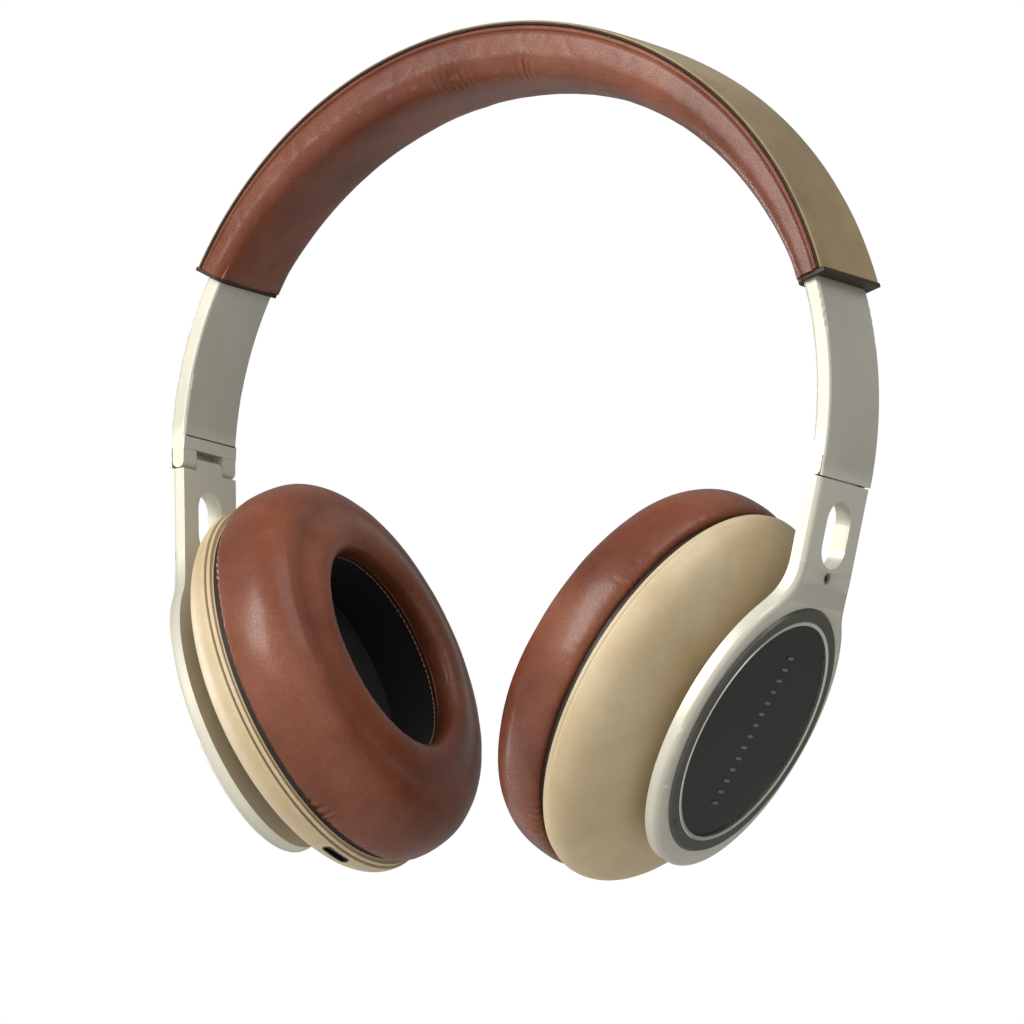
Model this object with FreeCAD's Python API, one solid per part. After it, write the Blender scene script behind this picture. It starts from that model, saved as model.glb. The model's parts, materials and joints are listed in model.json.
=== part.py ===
import FreeCAD, Part
import math
import os

from FreeCAD import Placement, Rotation
from FreeCAD import Vector as V

# Folding over-ear headphones, millimetres, +Z up, +X to the right cup, +Y to the back.
# The origin is the underside of the pad at the crown, where a peg or a head carries the band.
# The band and the arms that slide in it are arcs about one line along Y, the band axis.
# Every right-hand piece is built first; a left-hand one is its mirror image in X.

# ---- headband ----
BAND_R = 90.0          # outer face of the cover, from the band axis
BAND_W = 24.2          # pad and cover, front to back
COVER_T = 1.3          # tan cover
COVER_INSET = 0.15     # the cover is this much narrower than the pad on each side
PAD_CROWN_T = 12.7     # pad at the crown, below the cover
PAD_END_T = 7.3        # pad at the band's ends, below the cover
PAD_EDGE_R = 3.5       # rounding of the pad's lower edges
MOUTH_DEG = 22.6       # ends of the band, above the horizontal through the band axis
PIPING_H = 1.5         # welt over the seam between cover and pad
PIPING_PROUD = 0.5
PIPING_CHAMFER = 0.25
COLLAR_T = 0.9         # end plate of the band
COLLAR_INSET = 0.4     # the pad covers the collar by this much at its sides and underneath
STRIP_T = 0.8          # spring steel strip under the cover
STRIP_W = 16.0
SLEEVE_T = 0.5         # guide sleeve, inner and outer walls
SLEEVE_SIDE_T = 0.55
TONGUE_DEG = 6.0       # solid end of the sleeve, riveted to the strip
CABLE_R = 1.1          # cable that joins the two cups, inside the band
CABLE_DEPTH = 2.4      # its centre, below the sleeve's outer face
RIVET_R = 1.1
RIVET_SPAN = 9.0       # between the two rivets of a sleeve
RIVET_SHY = 0.02       # a rivet ends this far below the cover
STRIP_END_DEG = 2.0    # the strip stops this far short of the band's ends

# ---- sliding arm ----
ARM_INSET = 2.8        # arm's outer face, below the cover's
ARM_T = 3.9
ARM_W = 20.4
ARM_EDGE_R = 0.7
ARM_ENGAGED_DEG = 13.0  # length of arm inside the band at rest
RETRACT_DEG = 18.0     # travel into the band from rest
SLIDE_GAP = 0.2        # arm to sleeve, each side
SLEEVE_SPARE_DEG = 1.0  # free end of the sleeve behind the retracted arm
NOTCH_L = 0.9          # size notches in the sleeve's inner wall
NOTCH_W = 5.4
NOTCH_PITCH_DEG = 2.0
DETENT_T = 0.35        # leaf spring on the arm, with a bump that clicks over the notches
DETENT_W = 6.0
DETENT_DEG = 5.0
DETENT_SEAT = 0.7      # depth of its seat in the arm
DETENT_PROUD = 0.15    # bump, out of the arm's inner face
DETENT_TOP_DEG = 1.0   # its seat, below the arm's upper end
BUMP_GAP = 0.05        # bump to notch, each side
BUMP_END_GAP = 0.2     # the same, at the bump's ends

# ---- fold hinge ----
BRACKET_TOP_DEG = -2.3  # upper seam of the hinge bracket on the inner face
PIN_DEG = -6.3         # fold pin
SKIN_T = 0.6           # outer skin of the arm, over the hinge
SKIN_END_DEG = -7.2
YOKE_TOP_DEG = -7.45
PIN_R = 0.8
PIN_RUN = 0.05         # running clearance of the pin in the yoke
PIN_DEPTH = 1.6        # pin, outward from the arm's inner face
PIN_COVER = 1.2        # metal left over the pin at the front; it is pressed in from the back
KNUCKLE_R = 1.5        # ears of the bracket, round the pin
TONGUE_W = 9.8         # knuckle of the yoke
KNUCKLE_GAP = 0.2      # between the knuckles, along the pin
KNUCKLE_ROOF_DEG = 2.0  # free space above the yoke's knuckle

# ---- cup ----
CUP_TILT = 27.0        # lean of the cup, its lower end inward
CUP_INSET = 43.3       # centre of the parting plane, inward of the cover's outer face
CUP_Z = -57.9          # the same point, from the band axis
CUP_H = 89.4           # cup and cushion, along the lean
CUP_W = 75.6           # cup and cushion, front to back
SHELL_H = 13.6         # height of the domed shell
SHELL_POWER = 2.3      # superellipse of the dome
SHELL_T = 2.0
SHELL_FOOT = 1.6       # shell's rim above the parting plane
TRIM_T = 0.9           # visible edge of the trim ring
TRIM_DEPTH = 0.5       # trim ring lies this far inside the cup's outline
TRIM_STEP = 1.0        # depth of the grooves on both sides of that edge
TRIM_SEAT = 1.2        # width of the trim ring's ledge inside the shell
BAFFLE_T = 1.8
CUSHION_T = 19.5
CUSHION_EDGE_R = 10.0
CUSHION_FOOT_R = 2.0
EAR_H = 49.6           # mouth of the ear opening, along the lean
EAR_LIP_R = 2.5
EAR_FLARE = 3.2        # the opening is this much wider, each side, at its floor
RING_T = 1.3           # plate that carries the cushion
RING_GAP = 0.2         # plate to the mouth's widest lip
CLOTH_T = 0.4
FLOOR_GAP = 0.1        # baffle, below the parting plane; also cushion to its plate
SEAT_GAP = 0.05        # a part to the seat that it drops into

# ---- driver ----
DRIVER_GAP = 0.64      # driver to the cushion's plate, at the narrow sides
DRIVER_SEAT_W = 1.9    # ledge that the driver's flange sits on
DRIVER_DEPTH = 5.0
MAGNET_R = 11.0
MAGNET_T = 2.6
DIAPHRAGM_T = 0.25
COIL_R = 8.0
COIL_GAP_W = 1.0       # slot in the magnet round the voice coil
COIL_WALL = 0.4
DRIVER_RIM = 1.4       # width of the driver's rim
DRIVER_FLANGE_T = 1.0
BASKET_T = 1.4         # side wall of the basket, round the magnet
BASKET_STEP = 0.4      # slope of the basket's floor at its rim
MAGNET_STEP = 0.6      # basket below the magnet's edge
MAGNET_BACK_GAP = 1.1  # magnet to the pivot bracket
SURROUND_W = 3.0       # flat edge of the diaphragm, glued to the rim
DOME_DROP = 0.9        # middle of the diaphragm, below the parting plane
CONE_RISE = 0.1        # where the cone meets the coil, above it
COIL_IN = 0.8          # length of coil inside the magnet

# ---- pivot between yoke and cup ----
PIVOT_Z = 11.0         # both pivot axes, above the parting plane
POST_R = 4.5
POST_FLANGE_R = 9.0
POST_FLANGE_T = 1.3
FORK_SPAN = 6.8        # inside the fork
FORK_T = 1.6
FORK_W = 4.4
TRUNNION_R = 1.0
TRUNNION_RUN = 0.05
FORK_ROOT = 3.5        # fork's ears, from the pivot axis to the post
CROSS_W = 5.4
CROSS_T = 4.4
CROSS_GAP = 0.25       # cross to the fork, each end
EAR_GAP = 0.3          # cross to the bracket's ears, each side
EAR_SPARE = 0.2        # the ears reach this far past the trunnions
BRACKET_PLATE_T = 0.8
BRACKET_PLATE_Z = 6.9
BRACKET_L = 54.0       # along Y
BRACKET_W = 11.0
BRACKET_INSET_L = 3.0  # bracket's screws, from its ends and its sides
BRACKET_INSET_W = 2.6
SHELL_HOLE_R = 6.2
SCREW_R = 1.0
SCREW_HEAD_R = 1.9
SCREW_HEAD_T = 0.9
BOSS_R = 2.4
BAFFLE_SCREW_BACK = 0.595  # baffle's screws, as shares of the cup's half width and half height
BAFFLE_SCREW_UP = 0.649
BAFFLE_BITE = 3.2      # thread in the shell's bosses
BRACKET_BITE = 2.0
POST_SCREW_AT = 6.8    # radius of the circle of the post's three screws
POST_BITE = 0.8        # thread in the yoke

# ---- yoke ----
YOKE_FACE_Z = 22.1     # outer face of the plate, above the parting plane
YOKE_RISE = 2.7        # centre of the plate, along the lean, from the cup's centre
YOKE_H = 68.6
YOKE_W = 48.0
YOKE_BEND_R = 27.0     # bend between neck and plate, outer face
YOKE_FLARE_R = 16.0    # neck to plate, seen from the side
YOKE_EDGE_R = 1.6      # outer rim
SLOT_L = 14.9          # window in the neck
SLOT_W = 9.4
SLOT_TOP = 4.1         # below the yoke's top edge
DOT_R = 1.3            # set screw under the window
DOT_GAP = 0.8
DOT_L = 1.6
DOT_DEPTH = 0.4        # set screw, below the neck's face
DOT_SEAT = 2.0
DOT_DRIVE_R = 0.65     # hollow for the driver bit
DOT_DRIVE_L = 0.6

# ---- badge ----
BEZEL_H = 60.0
BEZEL_RATIO = 0.722
BEZEL_BAND = 3.0
BEZEL_DEPTH = 1.7      # pocket in the yoke's face
BEZEL_PROUD = 0.7
RIM_BAND = 0.9
RIM_PROUD = 0.95
BADGE_PROUD = 0.45
BADGE_CROWN = 0.35
BEZEL_CHAMFER = 0.45
RIM_CHAMFER = 0.2
PIECE_SPAN = 12.0      # cutting tools run at least this far past what they cut

# ---- controls, sockets, electrics ----
BUTTON_AT = 13.0       # power button, along the lean
BUTTON_L = 7.0
BUTTON_H = 2.6
BUTTON_PROUD = 0.9
ROCKER_AT = -5.0
ROCKER_L = 14.0
CONTROL_Z = 4.4        # height of the controls above the parting plane
CONTROL_GAP = 0.2
BUTTON_TRAVEL = 0.6
FLANGE_T = 0.8         # flange that keeps a control in the shell
FLANGE_GAP = 0.3       # flange to the shell's inside
FLANGE_OVER = 0.6      # flange beyond the cap, each end
FLANGE_H = 3.0
ROCK_PIN_R = 0.6       # round rib that the rocker turns on
SWITCH_T = 1.2
SWITCH_L = 3.0
SWITCH_H = 2.6
SWITCH_GAP = 0.1
ROCKER_SWITCH = 4.5    # rocker's two switches, from its middle
BOARD_T = 1.2
BOARD_LOW = -14.0      # board's ends, along the lean
BOARD_HIGH = 18.0
BOARD_W = 3.9
CHIPS = ((-9.0, -2.0, 1.4), (3.0, 8.0, 1.0))  # ends along the lean, and thickness
CHIP_INSET = 0.5
CELL_L = 30.0          # battery cell
CELL_W = 11.5
CELL_T = 4.3
CELL_LOW = 22.5        # its lower side, along the lean from the cup's centre
CELL_EDGE_R = 1.5
JACK_R = 1.75
JACK_BODY_R = 2.8
JACK_DEPTH = 13.0      # bore, in from the cup's outline
JACK_WALL = 4.0        # closed end of the socket
JACK_Z = 4.9
JACK_TURN = 15.5       # round the cup from its lowest point, towards the back
USB_L = 8.0
USB_H = 2.6
USB_WALL = 0.45
USB_DEPTH = 9.0
USB_Z = 3.5
USB_TURN = -15.5       # towards the front
USB_TONGUE_W = 5.2
USB_TONGUE_T = 0.6
USB_TONGUE_IN = 2.0    # tongue, in from the cup's outline

AXIS_Z = -(BAND_R - COVER_T - PAD_CROWN_T)
COVER_R = BAND_R - COVER_T
PITCH = math.pi / 180
PAD_Y = BAND_W / 2
CUP_RY = CUP_H / 2
CUP_SQUEEZE = CUP_W / CUP_H
CUP_X = BAND_R - CUP_INSET
DRIVER_R = (EAR_H / 2 + RING_GAP) * CUP_SQUEEZE - DRIVER_GAP
DRIVER_HOLE_R = DRIVER_R - DRIVER_SEAT_W
ARM_R = BAND_R - ARM_INSET
ARM_IN_R = ARM_R - ARM_T
PIN_ARC_R = ARM_IN_R + PIN_DEPTH
SLEEVE_IN_R = ARM_IN_R - SLIDE_GAP
SLEEVE_OUT_R = ARM_R + SLIDE_GAP
ARM_TOP_DEG = MOUTH_DEG + ARM_ENGAGED_DEG
SLEEVE_END_DEG = ARM_TOP_DEG + RETRACT_DEG + SLEEVE_SPARE_DEG
TONGUE_END_DEG = SLEEVE_END_DEG + TONGUE_DEG
SLEEVE_Y = ARM_W / 2 + SLIDE_GAP + SLEEVE_SIDE_T
CUSHION_TOP = -RING_T - FLOOR_GAP
YOKE_IN_Z = YOKE_FACE_Z - ARM_T
BRACKET_TOP_Z = BRACKET_PLATE_Z + BRACKET_PLATE_T

parts = {}


def polar(r, deg, y=0.0):
    a = math.radians(deg)
    return V(r * math.cos(a), y, AXIS_Z + r * math.sin(a))


def arc_face(r_in, r_out, deg0, deg1, y):
    mid = (deg0 + deg1) / 2
    outer = Part.Arc(polar(r_out, deg0, y), polar(r_out, mid, y), polar(r_out, deg1, y))
    inner = Part.Arc(polar(r_in, deg1, y), polar(r_in, mid, y), polar(r_in, deg0, y))
    ends = [
        Part.makeLine(polar(r_out, deg1, y), polar(r_in, deg1, y)),
        Part.makeLine(polar(r_in, deg0, y), polar(r_out, deg0, y)),
    ]
    return Part.Face(Part.Wire([outer.toShape(), ends[0], inner.toShape(), ends[1]]))


def sector(r_in, r_out, deg0, deg1, y0, y1):
    """A stretch of a ring about the band axis."""
    return arc_face(r_in, r_out, deg0, deg1, y0).extrude(V(0, y1 - y0, 0))


def welt(side):
    """The welt on one side of the band: a low bar with chamfered edges over the seam."""
    y, proud = side * PAD_Y, side * PIPING_PROUD
    flat, bevel = PIPING_H / 2 - PIPING_CHAMFER, side * PIPING_CHAMFER
    outline = [
        (COVER_R - PIPING_H / 2, y), (COVER_R - PIPING_H / 2, y + proud - bevel), (COVER_R - flat, y + proud),
        (COVER_R + flat, y + proud), (COVER_R + PIPING_H / 2, y + proud - bevel), (COVER_R + PIPING_H / 2, y),
    ]
    corners = [polar(r, MOUTH_DEG, at) for r, at in outline]
    face = Part.Face(Part.makePolygon(corners + corners[:1]))
    return face.revolve(V(0, y, AXIS_Z), V(0, -1, 0), 180 - 2 * MOUTH_DEG)


def cable_run(r, bead, deg0, deg1, y):
    """A round cable that follows the band."""
    start = polar(r, deg0, y)
    a = math.radians(deg0)
    circle = Part.Circle(start, V(-math.sin(a), 0, math.cos(a)), bead)
    face = Part.Face(Part.Wire([circle.toShape()]))
    return face.revolve(V(0, y, AXIS_Z), V(0, -1, 0), deg1 - deg0)


def rod_y(r, centre, length):
    return Part.makeCylinder(r, length, centre - V(0, length / 2, 0), V(0, 1, 0))


def box(x0, x1, y0, y1, z0, z1):
    return Part.makeBox(x1 - x0, y1 - y0, z1 - z0, V(x0, y0, z0))


def turned(points, squeeze=1.0, arcs=None):
    """A solid turned about the local z axis from (radius, height) points, then squeezed along x."""
    arcs = arcs or {}
    edges = []
    closed = points + [points[0]]
    for i, (a, b) in enumerate(zip(closed[:-1], closed[1:])):
        start, end = V(a[0], 0, a[1]), V(b[0], 0, b[1])
        if i in arcs:
            via = arcs[i]
            edges.append(Part.Arc(start, V(via[0], 0, via[1]), end).toShape())
        else:
            edges.append(Part.makeLine(start, end))
    solid = Part.Face(Part.Wire(edges)).revolve(V(0, 0, 0), V(0, 0, 1), 360)
    return squeezed(solid, squeeze)


def squeezed(solid, squeeze):
    if squeeze == 1.0:
        return solid
    matrix = FreeCAD.Matrix()
    matrix.scale(squeeze, 1.0, 1.0)
    return solid.transformGeometry(matrix)


def in_cup(shape):
    """Carries a shape from the cup's own frame, where x is back, y up the lean and z outward."""
    t = math.radians(CUP_TILT)
    back, up = V(0, 1, 0), V(math.sin(t), 0, math.cos(t))
    out = V(math.cos(t), 0, -math.sin(t))
    placed = shape.copy()
    placed.Placement = Placement(
        V(CUP_X, 0, AXIS_Z + CUP_Z), Rotation(back, up, out, "ZXY")
    ).multiply(shape.Placement)
    return placed


def mirrored(shape):
    return shape.mirror(V(0, 0, 0), V(1, 0, 0))


def edges_where(shape, test):
    return [e for e in shape.Edges if test(e)]


def screw(x, y, low, length):
    """A countersunk screw that points outward in the cup's frame, its head at the given height."""
    head = Part.makeCone(SCREW_HEAD_R, SCREW_R, SCREW_HEAD_T, V(x, y, low))
    return Part.makeCylinder(SCREW_R, length, V(x, y, low)).fuse(head)


def both(name, right, place=lambda s: s):
    """Stores a piece for the right-hand side and its mirror image for the left."""
    right = place(right)
    parts[name + "_right"] = right
    parts[name + "_left"] = mirrored(right)


# ---------------------------------------------------------------- headband
def pad_body():
    """The band's soft body: the outer arc follows the band, the lower arc is flatter."""
    r_end = COVER_R - PAD_END_T
    end, crown = polar(r_end, MOUTH_DEG), V(0, 0, 0)
    other = V(-end.x, 0, end.z)
    y = V(0, -PAD_Y, 0)
    lower = Part.Arc(other + y, crown + y, end + y).toShape()
    out_r, out_l = polar(COVER_R, MOUTH_DEG, -PAD_Y), polar(COVER_R, 180 - MOUTH_DEG, -PAD_Y)
    upper = Part.Arc(out_r, polar(COVER_R, 90, -PAD_Y), out_l).toShape()
    sides = [Part.makeLine(end + y, out_r), Part.makeLine(out_l, other + y)]
    body = Part.Face(Part.Wire([lower, sides[0], upper, sides[1]])).extrude(V(0, BAND_W, 0))
    low_edges = edges_where(
        body, lambda e: e.Length > BAND_R and e.BoundBox.ZMax < AXIS_Z + COVER_R - 1
    )
    return body.makeFillet(PAD_EDGE_R, low_edges)


def sleeve():
    """The sleeve's outside as a solid, and the sleeve itself with its hollow and notches."""
    outside = sector(
        SLEEVE_IN_R - SLEEVE_T, SLEEVE_OUT_R + SLEEVE_T, MOUTH_DEG, TONGUE_END_DEG, -SLEEVE_Y, SLEEVE_Y
    )
    inner_y = ARM_W / 2 + SLIDE_GAP
    hollow = sector(SLEEVE_IN_R, SLEEVE_OUT_R, MOUTH_DEG - 1, SLEEVE_END_DEG, -inner_y, inner_y)
    half_notch = NOTCH_L / SLEEVE_IN_R / PITCH / 2
    notches = []
    for i in range(int(RETRACT_DEG / NOTCH_PITCH_DEG) + 1):
        at = bump_deg() + i * NOTCH_PITCH_DEG
        notches.append(
            sector(
                SLEEVE_IN_R - 2 * SLEEVE_T, SLEEVE_IN_R + SLEEVE_T,
                at - half_notch, at + half_notch, -NOTCH_W / 2, NOTCH_W / 2,
            )
        )
    return outside, outside.cut([hollow] + notches)


def bump_deg():
    return ARM_TOP_DEG - DETENT_TOP_DEG - DETENT_DEG / 2


def detent():
    """A leaf in a seat near the arm's upper end, with a bump that stands out of the arm."""
    high = ARM_TOP_DEG - DETENT_TOP_DEG
    low = high - DETENT_DEG
    seat_r = ARM_IN_R + DETENT_SEAT
    leaf = sector(seat_r - DETENT_T, seat_r, low, high, -DETENT_W / 2, DETENT_W / 2)
    bump_r = NOTCH_L / 2 - BUMP_GAP
    bump_at = polar(ARM_IN_R - DETENT_PROUD + bump_r, bump_deg())
    bump = rod_y(bump_r, bump_at, NOTCH_W - 2 * BUMP_END_GAP)
    return leaf.fuse(bump).removeSplitter()


def rivet_points():
    for y in (-RIVET_SPAN / 2, RIVET_SPAN / 2):
        yield (SLEEVE_END_DEG + TONGUE_END_DEG) / 2, y


def rivet(deg, y, r_low, r_high):
    axis = polar(1, deg) - polar(0, deg)
    return Part.makeCylinder(RIVET_R, r_high - r_low, polar(r_low, deg, y), axis)


def make_headband():
    far = 180 - MOUTH_DEG
    strip_r = COVER_R - STRIP_T
    cover_y = PAD_Y - COVER_INSET
    cover = sector(COVER_R, BAND_R, MOUTH_DEG, far, -cover_y, cover_y)
    crest = edges_where(
        cover, lambda e: e.Length > BAND_R and e.BoundBox.ZMax > AXIS_Z + BAND_R - 0.1
    )
    cover = cover.makeFillet(COVER_T / 2, crest)
    strip_deg = MOUTH_DEG + STRIP_END_DEG
    strip = sector(strip_r, COVER_R, strip_deg, 180 - strip_deg, -STRIP_W / 2, STRIP_W / 2)
    sleeve_hull, sleeve_right = sleeve()
    rivet_holes = [rivet(d, y, SLEEVE_IN_R, BAND_R) for d, y in rivet_points()]
    rivets = [rivet(d, y, SLEEVE_IN_R, COVER_R - RIVET_SHY) for d, y in rivet_points()]
    sleeve_right = sleeve_right.cut(rivet_holes)
    strip = strip.cut(rivet_holes + [mirrored(h) for h in rivet_holes])
    cable = cable_run(SLEEVE_OUT_R - CABLE_DEPTH, CABLE_R, TONGUE_END_DEG, 180 - TONGUE_END_DEG, 0)
    hulls = [sleeve_hull, mirrored(sleeve_hull)]
    strip_bed = sector(strip_r, COVER_R, MOUTH_DEG, far, -STRIP_W / 2, STRIP_W / 2)
    pad = pad_body().cut(hulls + [strip_bed, cable])
    collar_deg = COLLAR_T / BAND_R / PITCH
    collar_in = COVER_R - PAD_END_T + COLLAR_INSET
    collar_y = PAD_Y - COLLAR_INSET
    collar = sector(collar_in, BAND_R, MOUTH_DEG - collar_deg, MOUTH_DEG, -collar_y, collar_y)
    low_corners = edges_where(
        collar, lambda e: e.Length < 2 * COLLAR_T and (e.CenterOfMass - V(0, 0, AXIS_Z)).Length < COVER_R - 1
        and abs(e.BoundBox.YLength) < COLLAR_INSET
    )
    collar = collar.makeFillet(PAD_EDGE_R - COLLAR_INSET, low_corners)
    slot_y = ARM_W / 2 + SLIDE_GAP
    slot = sector(SLEEVE_IN_R, SLEEVE_OUT_R, MOUTH_DEG - 3, MOUTH_DEG + 3, -slot_y, slot_y)
    parts["headband_cover"] = cover
    parts["headband_piping"] = Part.makeCompound([welt(-1), welt(1)])
    parts["headband_pad"] = pad
    parts["band_spring_strip"] = strip
    parts["crossover_cable"] = cable
    parts["sleeve_rivets"] = Part.makeCompound(rivets + [mirrored(r) for r in rivets])
    both("detent_spring", detent())
    both("guide_sleeve", sleeve_right)
    both("end_collar", collar.cut(slot))


# ---------------------------------------------------------------- arm and hinge
def pin_centre():
    return polar(PIN_ARC_R, PIN_DEG)


def make_arm():
    y = ARM_W / 2
    arm = sector(ARM_IN_R, ARM_R, SKIN_END_DEG, ARM_TOP_DEG, -y, y)
    long_edges = edges_where(arm, lambda e: e.Length > ARM_R * 0.5)
    arm = arm.makeFillet(ARM_EDGE_R, long_edges)
    skin_r = ARM_R - SKIN_T
    arm = arm.cut(sector(ARM_IN_R - 1, skin_r, SKIN_END_DEG - 1, BRACKET_TOP_DEG, -y - 1, y + 1))
    high = ARM_TOP_DEG - DETENT_TOP_DEG
    seat_y = DETENT_W / 2
    seat = sector(ARM_IN_R - 1, ARM_IN_R + DETENT_SEAT, high - DETENT_DEG, high, -seat_y, seat_y)
    return arm.cut(seat)


def make_hinge():
    y = ARM_W / 2
    half_tongue = TONGUE_W / 2
    skin_r = ARM_R - SKIN_T
    pin_at = pin_centre()
    roof = PIN_DEG + KNUCKLE_ROOF_DEG
    block = sector(ARM_IN_R, skin_r, roof, BRACKET_TOP_DEG, -y, y)
    ears = []
    for low, high in ((-y, -half_tongue - KNUCKLE_GAP), (half_tongue + KNUCKLE_GAP, y)):
        ear = sector(PIN_ARC_R - KNUCKLE_R, PIN_ARC_R + KNUCKLE_R, PIN_DEG, BRACKET_TOP_DEG, low, high)
        barrel = rod_y(KNUCKLE_R, V(pin_at.x, (low + high) / 2, pin_at.z), high - low)
        ears += [ear, barrel]
    bracket = block.fuse(ears).removeSplitter()
    pin = rod_y(PIN_R, pin_at + V(0, PIN_COVER / 2, 0), ARM_W - PIN_COVER)
    both("hinge_bracket", bracket.cut(pin))
    both("fold_pin", pin)


# ---------------------------------------------------------------- yoke
def lean(deg):
    a = math.radians(deg)
    return V(-math.sin(a), 0, -math.cos(a))


def yoke_corner():
    """Where the neck's outer face would meet the plate's outer face, and the neck's start."""
    start = polar(ARM_R, YOKE_TOP_DEG)
    along = lean(-YOKE_TOP_DEG)
    t = math.radians(CUP_TILT)
    out, up = V(math.cos(t), 0, -math.sin(t)), V(math.sin(t), 0, math.cos(t))
    face = V(CUP_X, 0, AXIS_Z + CUP_Z) + out * YOKE_FACE_Z
    reach = (face - start).dot(out) / along.dot(out)
    return start, along, start + along * reach, up, out


def yoke_sheet():
    """The bent plate that the yoke is cut from, as wide as the yoke."""
    start, along, corner, up, out = yoke_corner()
    turn = math.radians(CUP_TILT + YOKE_TOP_DEG)
    back_off = YOKE_BEND_R * math.tan(turn / 2)
    side = V(along.z, 0, -along.x)
    neck_in = side * ARM_T
    bend_a, bend_b = corner - along * back_off, corner - up * back_off
    centre = bend_a + side * YOKE_BEND_R
    mid_dir = ((bend_a - centre) + (bend_b - centre)).normalize()
    low_end = bend_b - up * (YOKE_H + 5)
    plate_in = out * -ARM_T
    points = {
        "outer": [bend_a, centre + mid_dir * YOKE_BEND_R, bend_b],
        "inner": [
            bend_b + plate_in,
            centre + mid_dir * (YOKE_BEND_R - ARM_T),
            bend_a + neck_in,
        ],
    }
    edges = [
        Part.makeLine(start, bend_a),
        Part.Arc(*points["outer"]).toShape(),
        Part.makeLine(bend_b, low_end),
        Part.makeLine(low_end, low_end + plate_in),
        Part.makeLine(low_end + plate_in, bend_b + plate_in),
        Part.Arc(*points["inner"]).toShape(),
        Part.makeLine(bend_a + neck_in, start + neck_in),
        Part.makeLine(start + neck_in, start),
    ]
    face = Part.Face(Part.Wire(edges))
    face.translate(V(0, -YOKE_W, 0))
    return face.extrude(V(0, 2 * YOKE_W, 0))


def ellipse_face(half_x, half_y, z, y=0.0):
    curve = Part.Ellipse(V(0, y + half_y, z), V(half_x, y, z), V(0, y, z))
    return Part.Face(Part.Wire([curve.toShape()]))


def yoke_outline():
    """The yoke's outline seen along the plate's normal, as a tall prism in the cup's frame."""
    low, high = YOKE_FACE_Z - 45, YOKE_FACE_Z + 15
    plate = ellipse_face(YOKE_W / 2, YOKE_H / 2, low, YOKE_RISE).extrude(V(0, 0, high - low))
    neck = box(-ARM_W / 2, ARM_W / 2, YOKE_RISE, YOKE_H + 20, low, high)
    joined = plate.fuse(neck).removeSplitter()
    crooks = edges_where(
        joined,
        lambda e: abs(e.BoundBox.ZLength - (high - low)) < 0.01
        and abs(abs(e.CenterOfMass.x) - ARM_W / 2) < 0.01
        and e.CenterOfMass.y < YOKE_RISE + YOKE_H / 2,
    )
    return joined.makeFillet(YOKE_FLARE_R, crooks)


def slot_tool():
    """The window in the neck: a slot with round ends, cut square to the neck."""
    start, along, _, _, _ = yoke_corner()
    side = V(along.z, 0, -along.x)
    r = SLOT_W / 2
    top = start + along * (SLOT_TOP + r) - side * 5
    low = start + along * (SLOT_TOP + SLOT_L - r) - side * 5
    depth = ARM_T + PIECE_SPAN
    ends = [Part.makeCylinder(r, depth, p, side) for p in (top, low)]
    corners = [top - V(0, r, 0), top + V(0, r, 0), low + V(0, r, 0), low - V(0, r, 0)]
    middle = Part.Face(Part.makePolygon(corners + corners[:1]))
    return ends[0].fuse([ends[1], middle.extrude(side * depth)])


def dot_tool():
    """The seat of the set screw under the window, its place on the neck's face and its direction."""
    start, along, _, _, _ = yoke_corner()
    side = V(along.z, 0, -along.x)
    at = start + along * (SLOT_TOP + SLOT_L + DOT_GAP + DOT_R)
    return Part.makeCylinder(DOT_R, DOT_SEAT + ARM_T, at - side * ARM_T, side), at, side


def make_yoke():
    start, along, _, _, _ = yoke_corner()
    sheet = yoke_sheet()
    body = sheet.common(in_cup(yoke_outline()))
    rims = yoke_rims(body, start, along)
    body = body.makeFillet(YOKE_EDGE_R, [max(rims, key=lambda e: e.BoundBox.XMax)])
    pocket = turned(
        [(0, 0), (BEZEL_H / 2, 0), (BEZEL_H / 2, BEZEL_DEPTH + 2), (0, BEZEL_DEPTH + 2)], BEZEL_RATIO
    )
    pocket.translate(V(0, YOKE_RISE, YOKE_FACE_Z - BEZEL_DEPTH))
    flange_seat = Part.makeCylinder(POST_FLANGE_R + SEAT_GAP, POST_FLANGE_T + 1, V(0, 0, YOKE_IN_Z - 1))
    tools = [in_cup(s) for s in [pocket, flange_seat] + post_screws()]
    dot, at, side = dot_tool()
    pin_at = pin_centre()
    r_low, r_high, y = PIN_ARC_R - KNUCKLE_R, PIN_ARC_R + KNUCKLE_R, TONGUE_W / 2
    tongue = sector(r_low, r_high, YOKE_TOP_DEG - 1, PIN_DEG, -y, y)
    body = body.fuse([tongue, rod_y(KNUCKLE_R, pin_at, TONGUE_W)]).removeSplitter()
    body = body.cut(tools + [slot_tool(), dot, rod_y(PIN_R + PIN_RUN, pin_at, ARM_W)])
    both("yoke", body)
    return at, side


def flat_across(face):
    """True for the yoke's two broad faces, which run straight from front to back."""
    u0, u1, v0, v1 = face.ParameterRange
    spots = [(u, v) for u in (u0, (u0 + u1) / 2, u1) for v in (v0, (v0 + v1) / 2, v1)]
    return all(abs(face.normalAt(u, v).y) < 1e-4 for u, v in spots)


def yoke_rims(body, start, along):
    """The long edges between the yoke's broad faces and its sides, below the hinge end."""
    rims = []
    for edge in body.Edges:
        broad = [flat_across(f) for f in body.ancestorsOfType(edge, Part.Face)]
        middle = edge.valueAt((edge.FirstParameter + edge.LastParameter) / 2)
        if sorted(broad) == [False, True] and (middle - start).dot(along) > 0.5:
            rims.append(edge)
    return rims


def post_screw_points():
    turns = (math.pi / 2, 7 * math.pi / 6, 11 * math.pi / 6)
    return [(POST_SCREW_AT * math.cos(a), POST_SCREW_AT * math.sin(a)) for a in turns]


def post_screws():
    return [screw(x, y, YOKE_IN_Z, POST_FLANGE_T + POST_BITE) for x, y in post_screw_points()]


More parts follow.
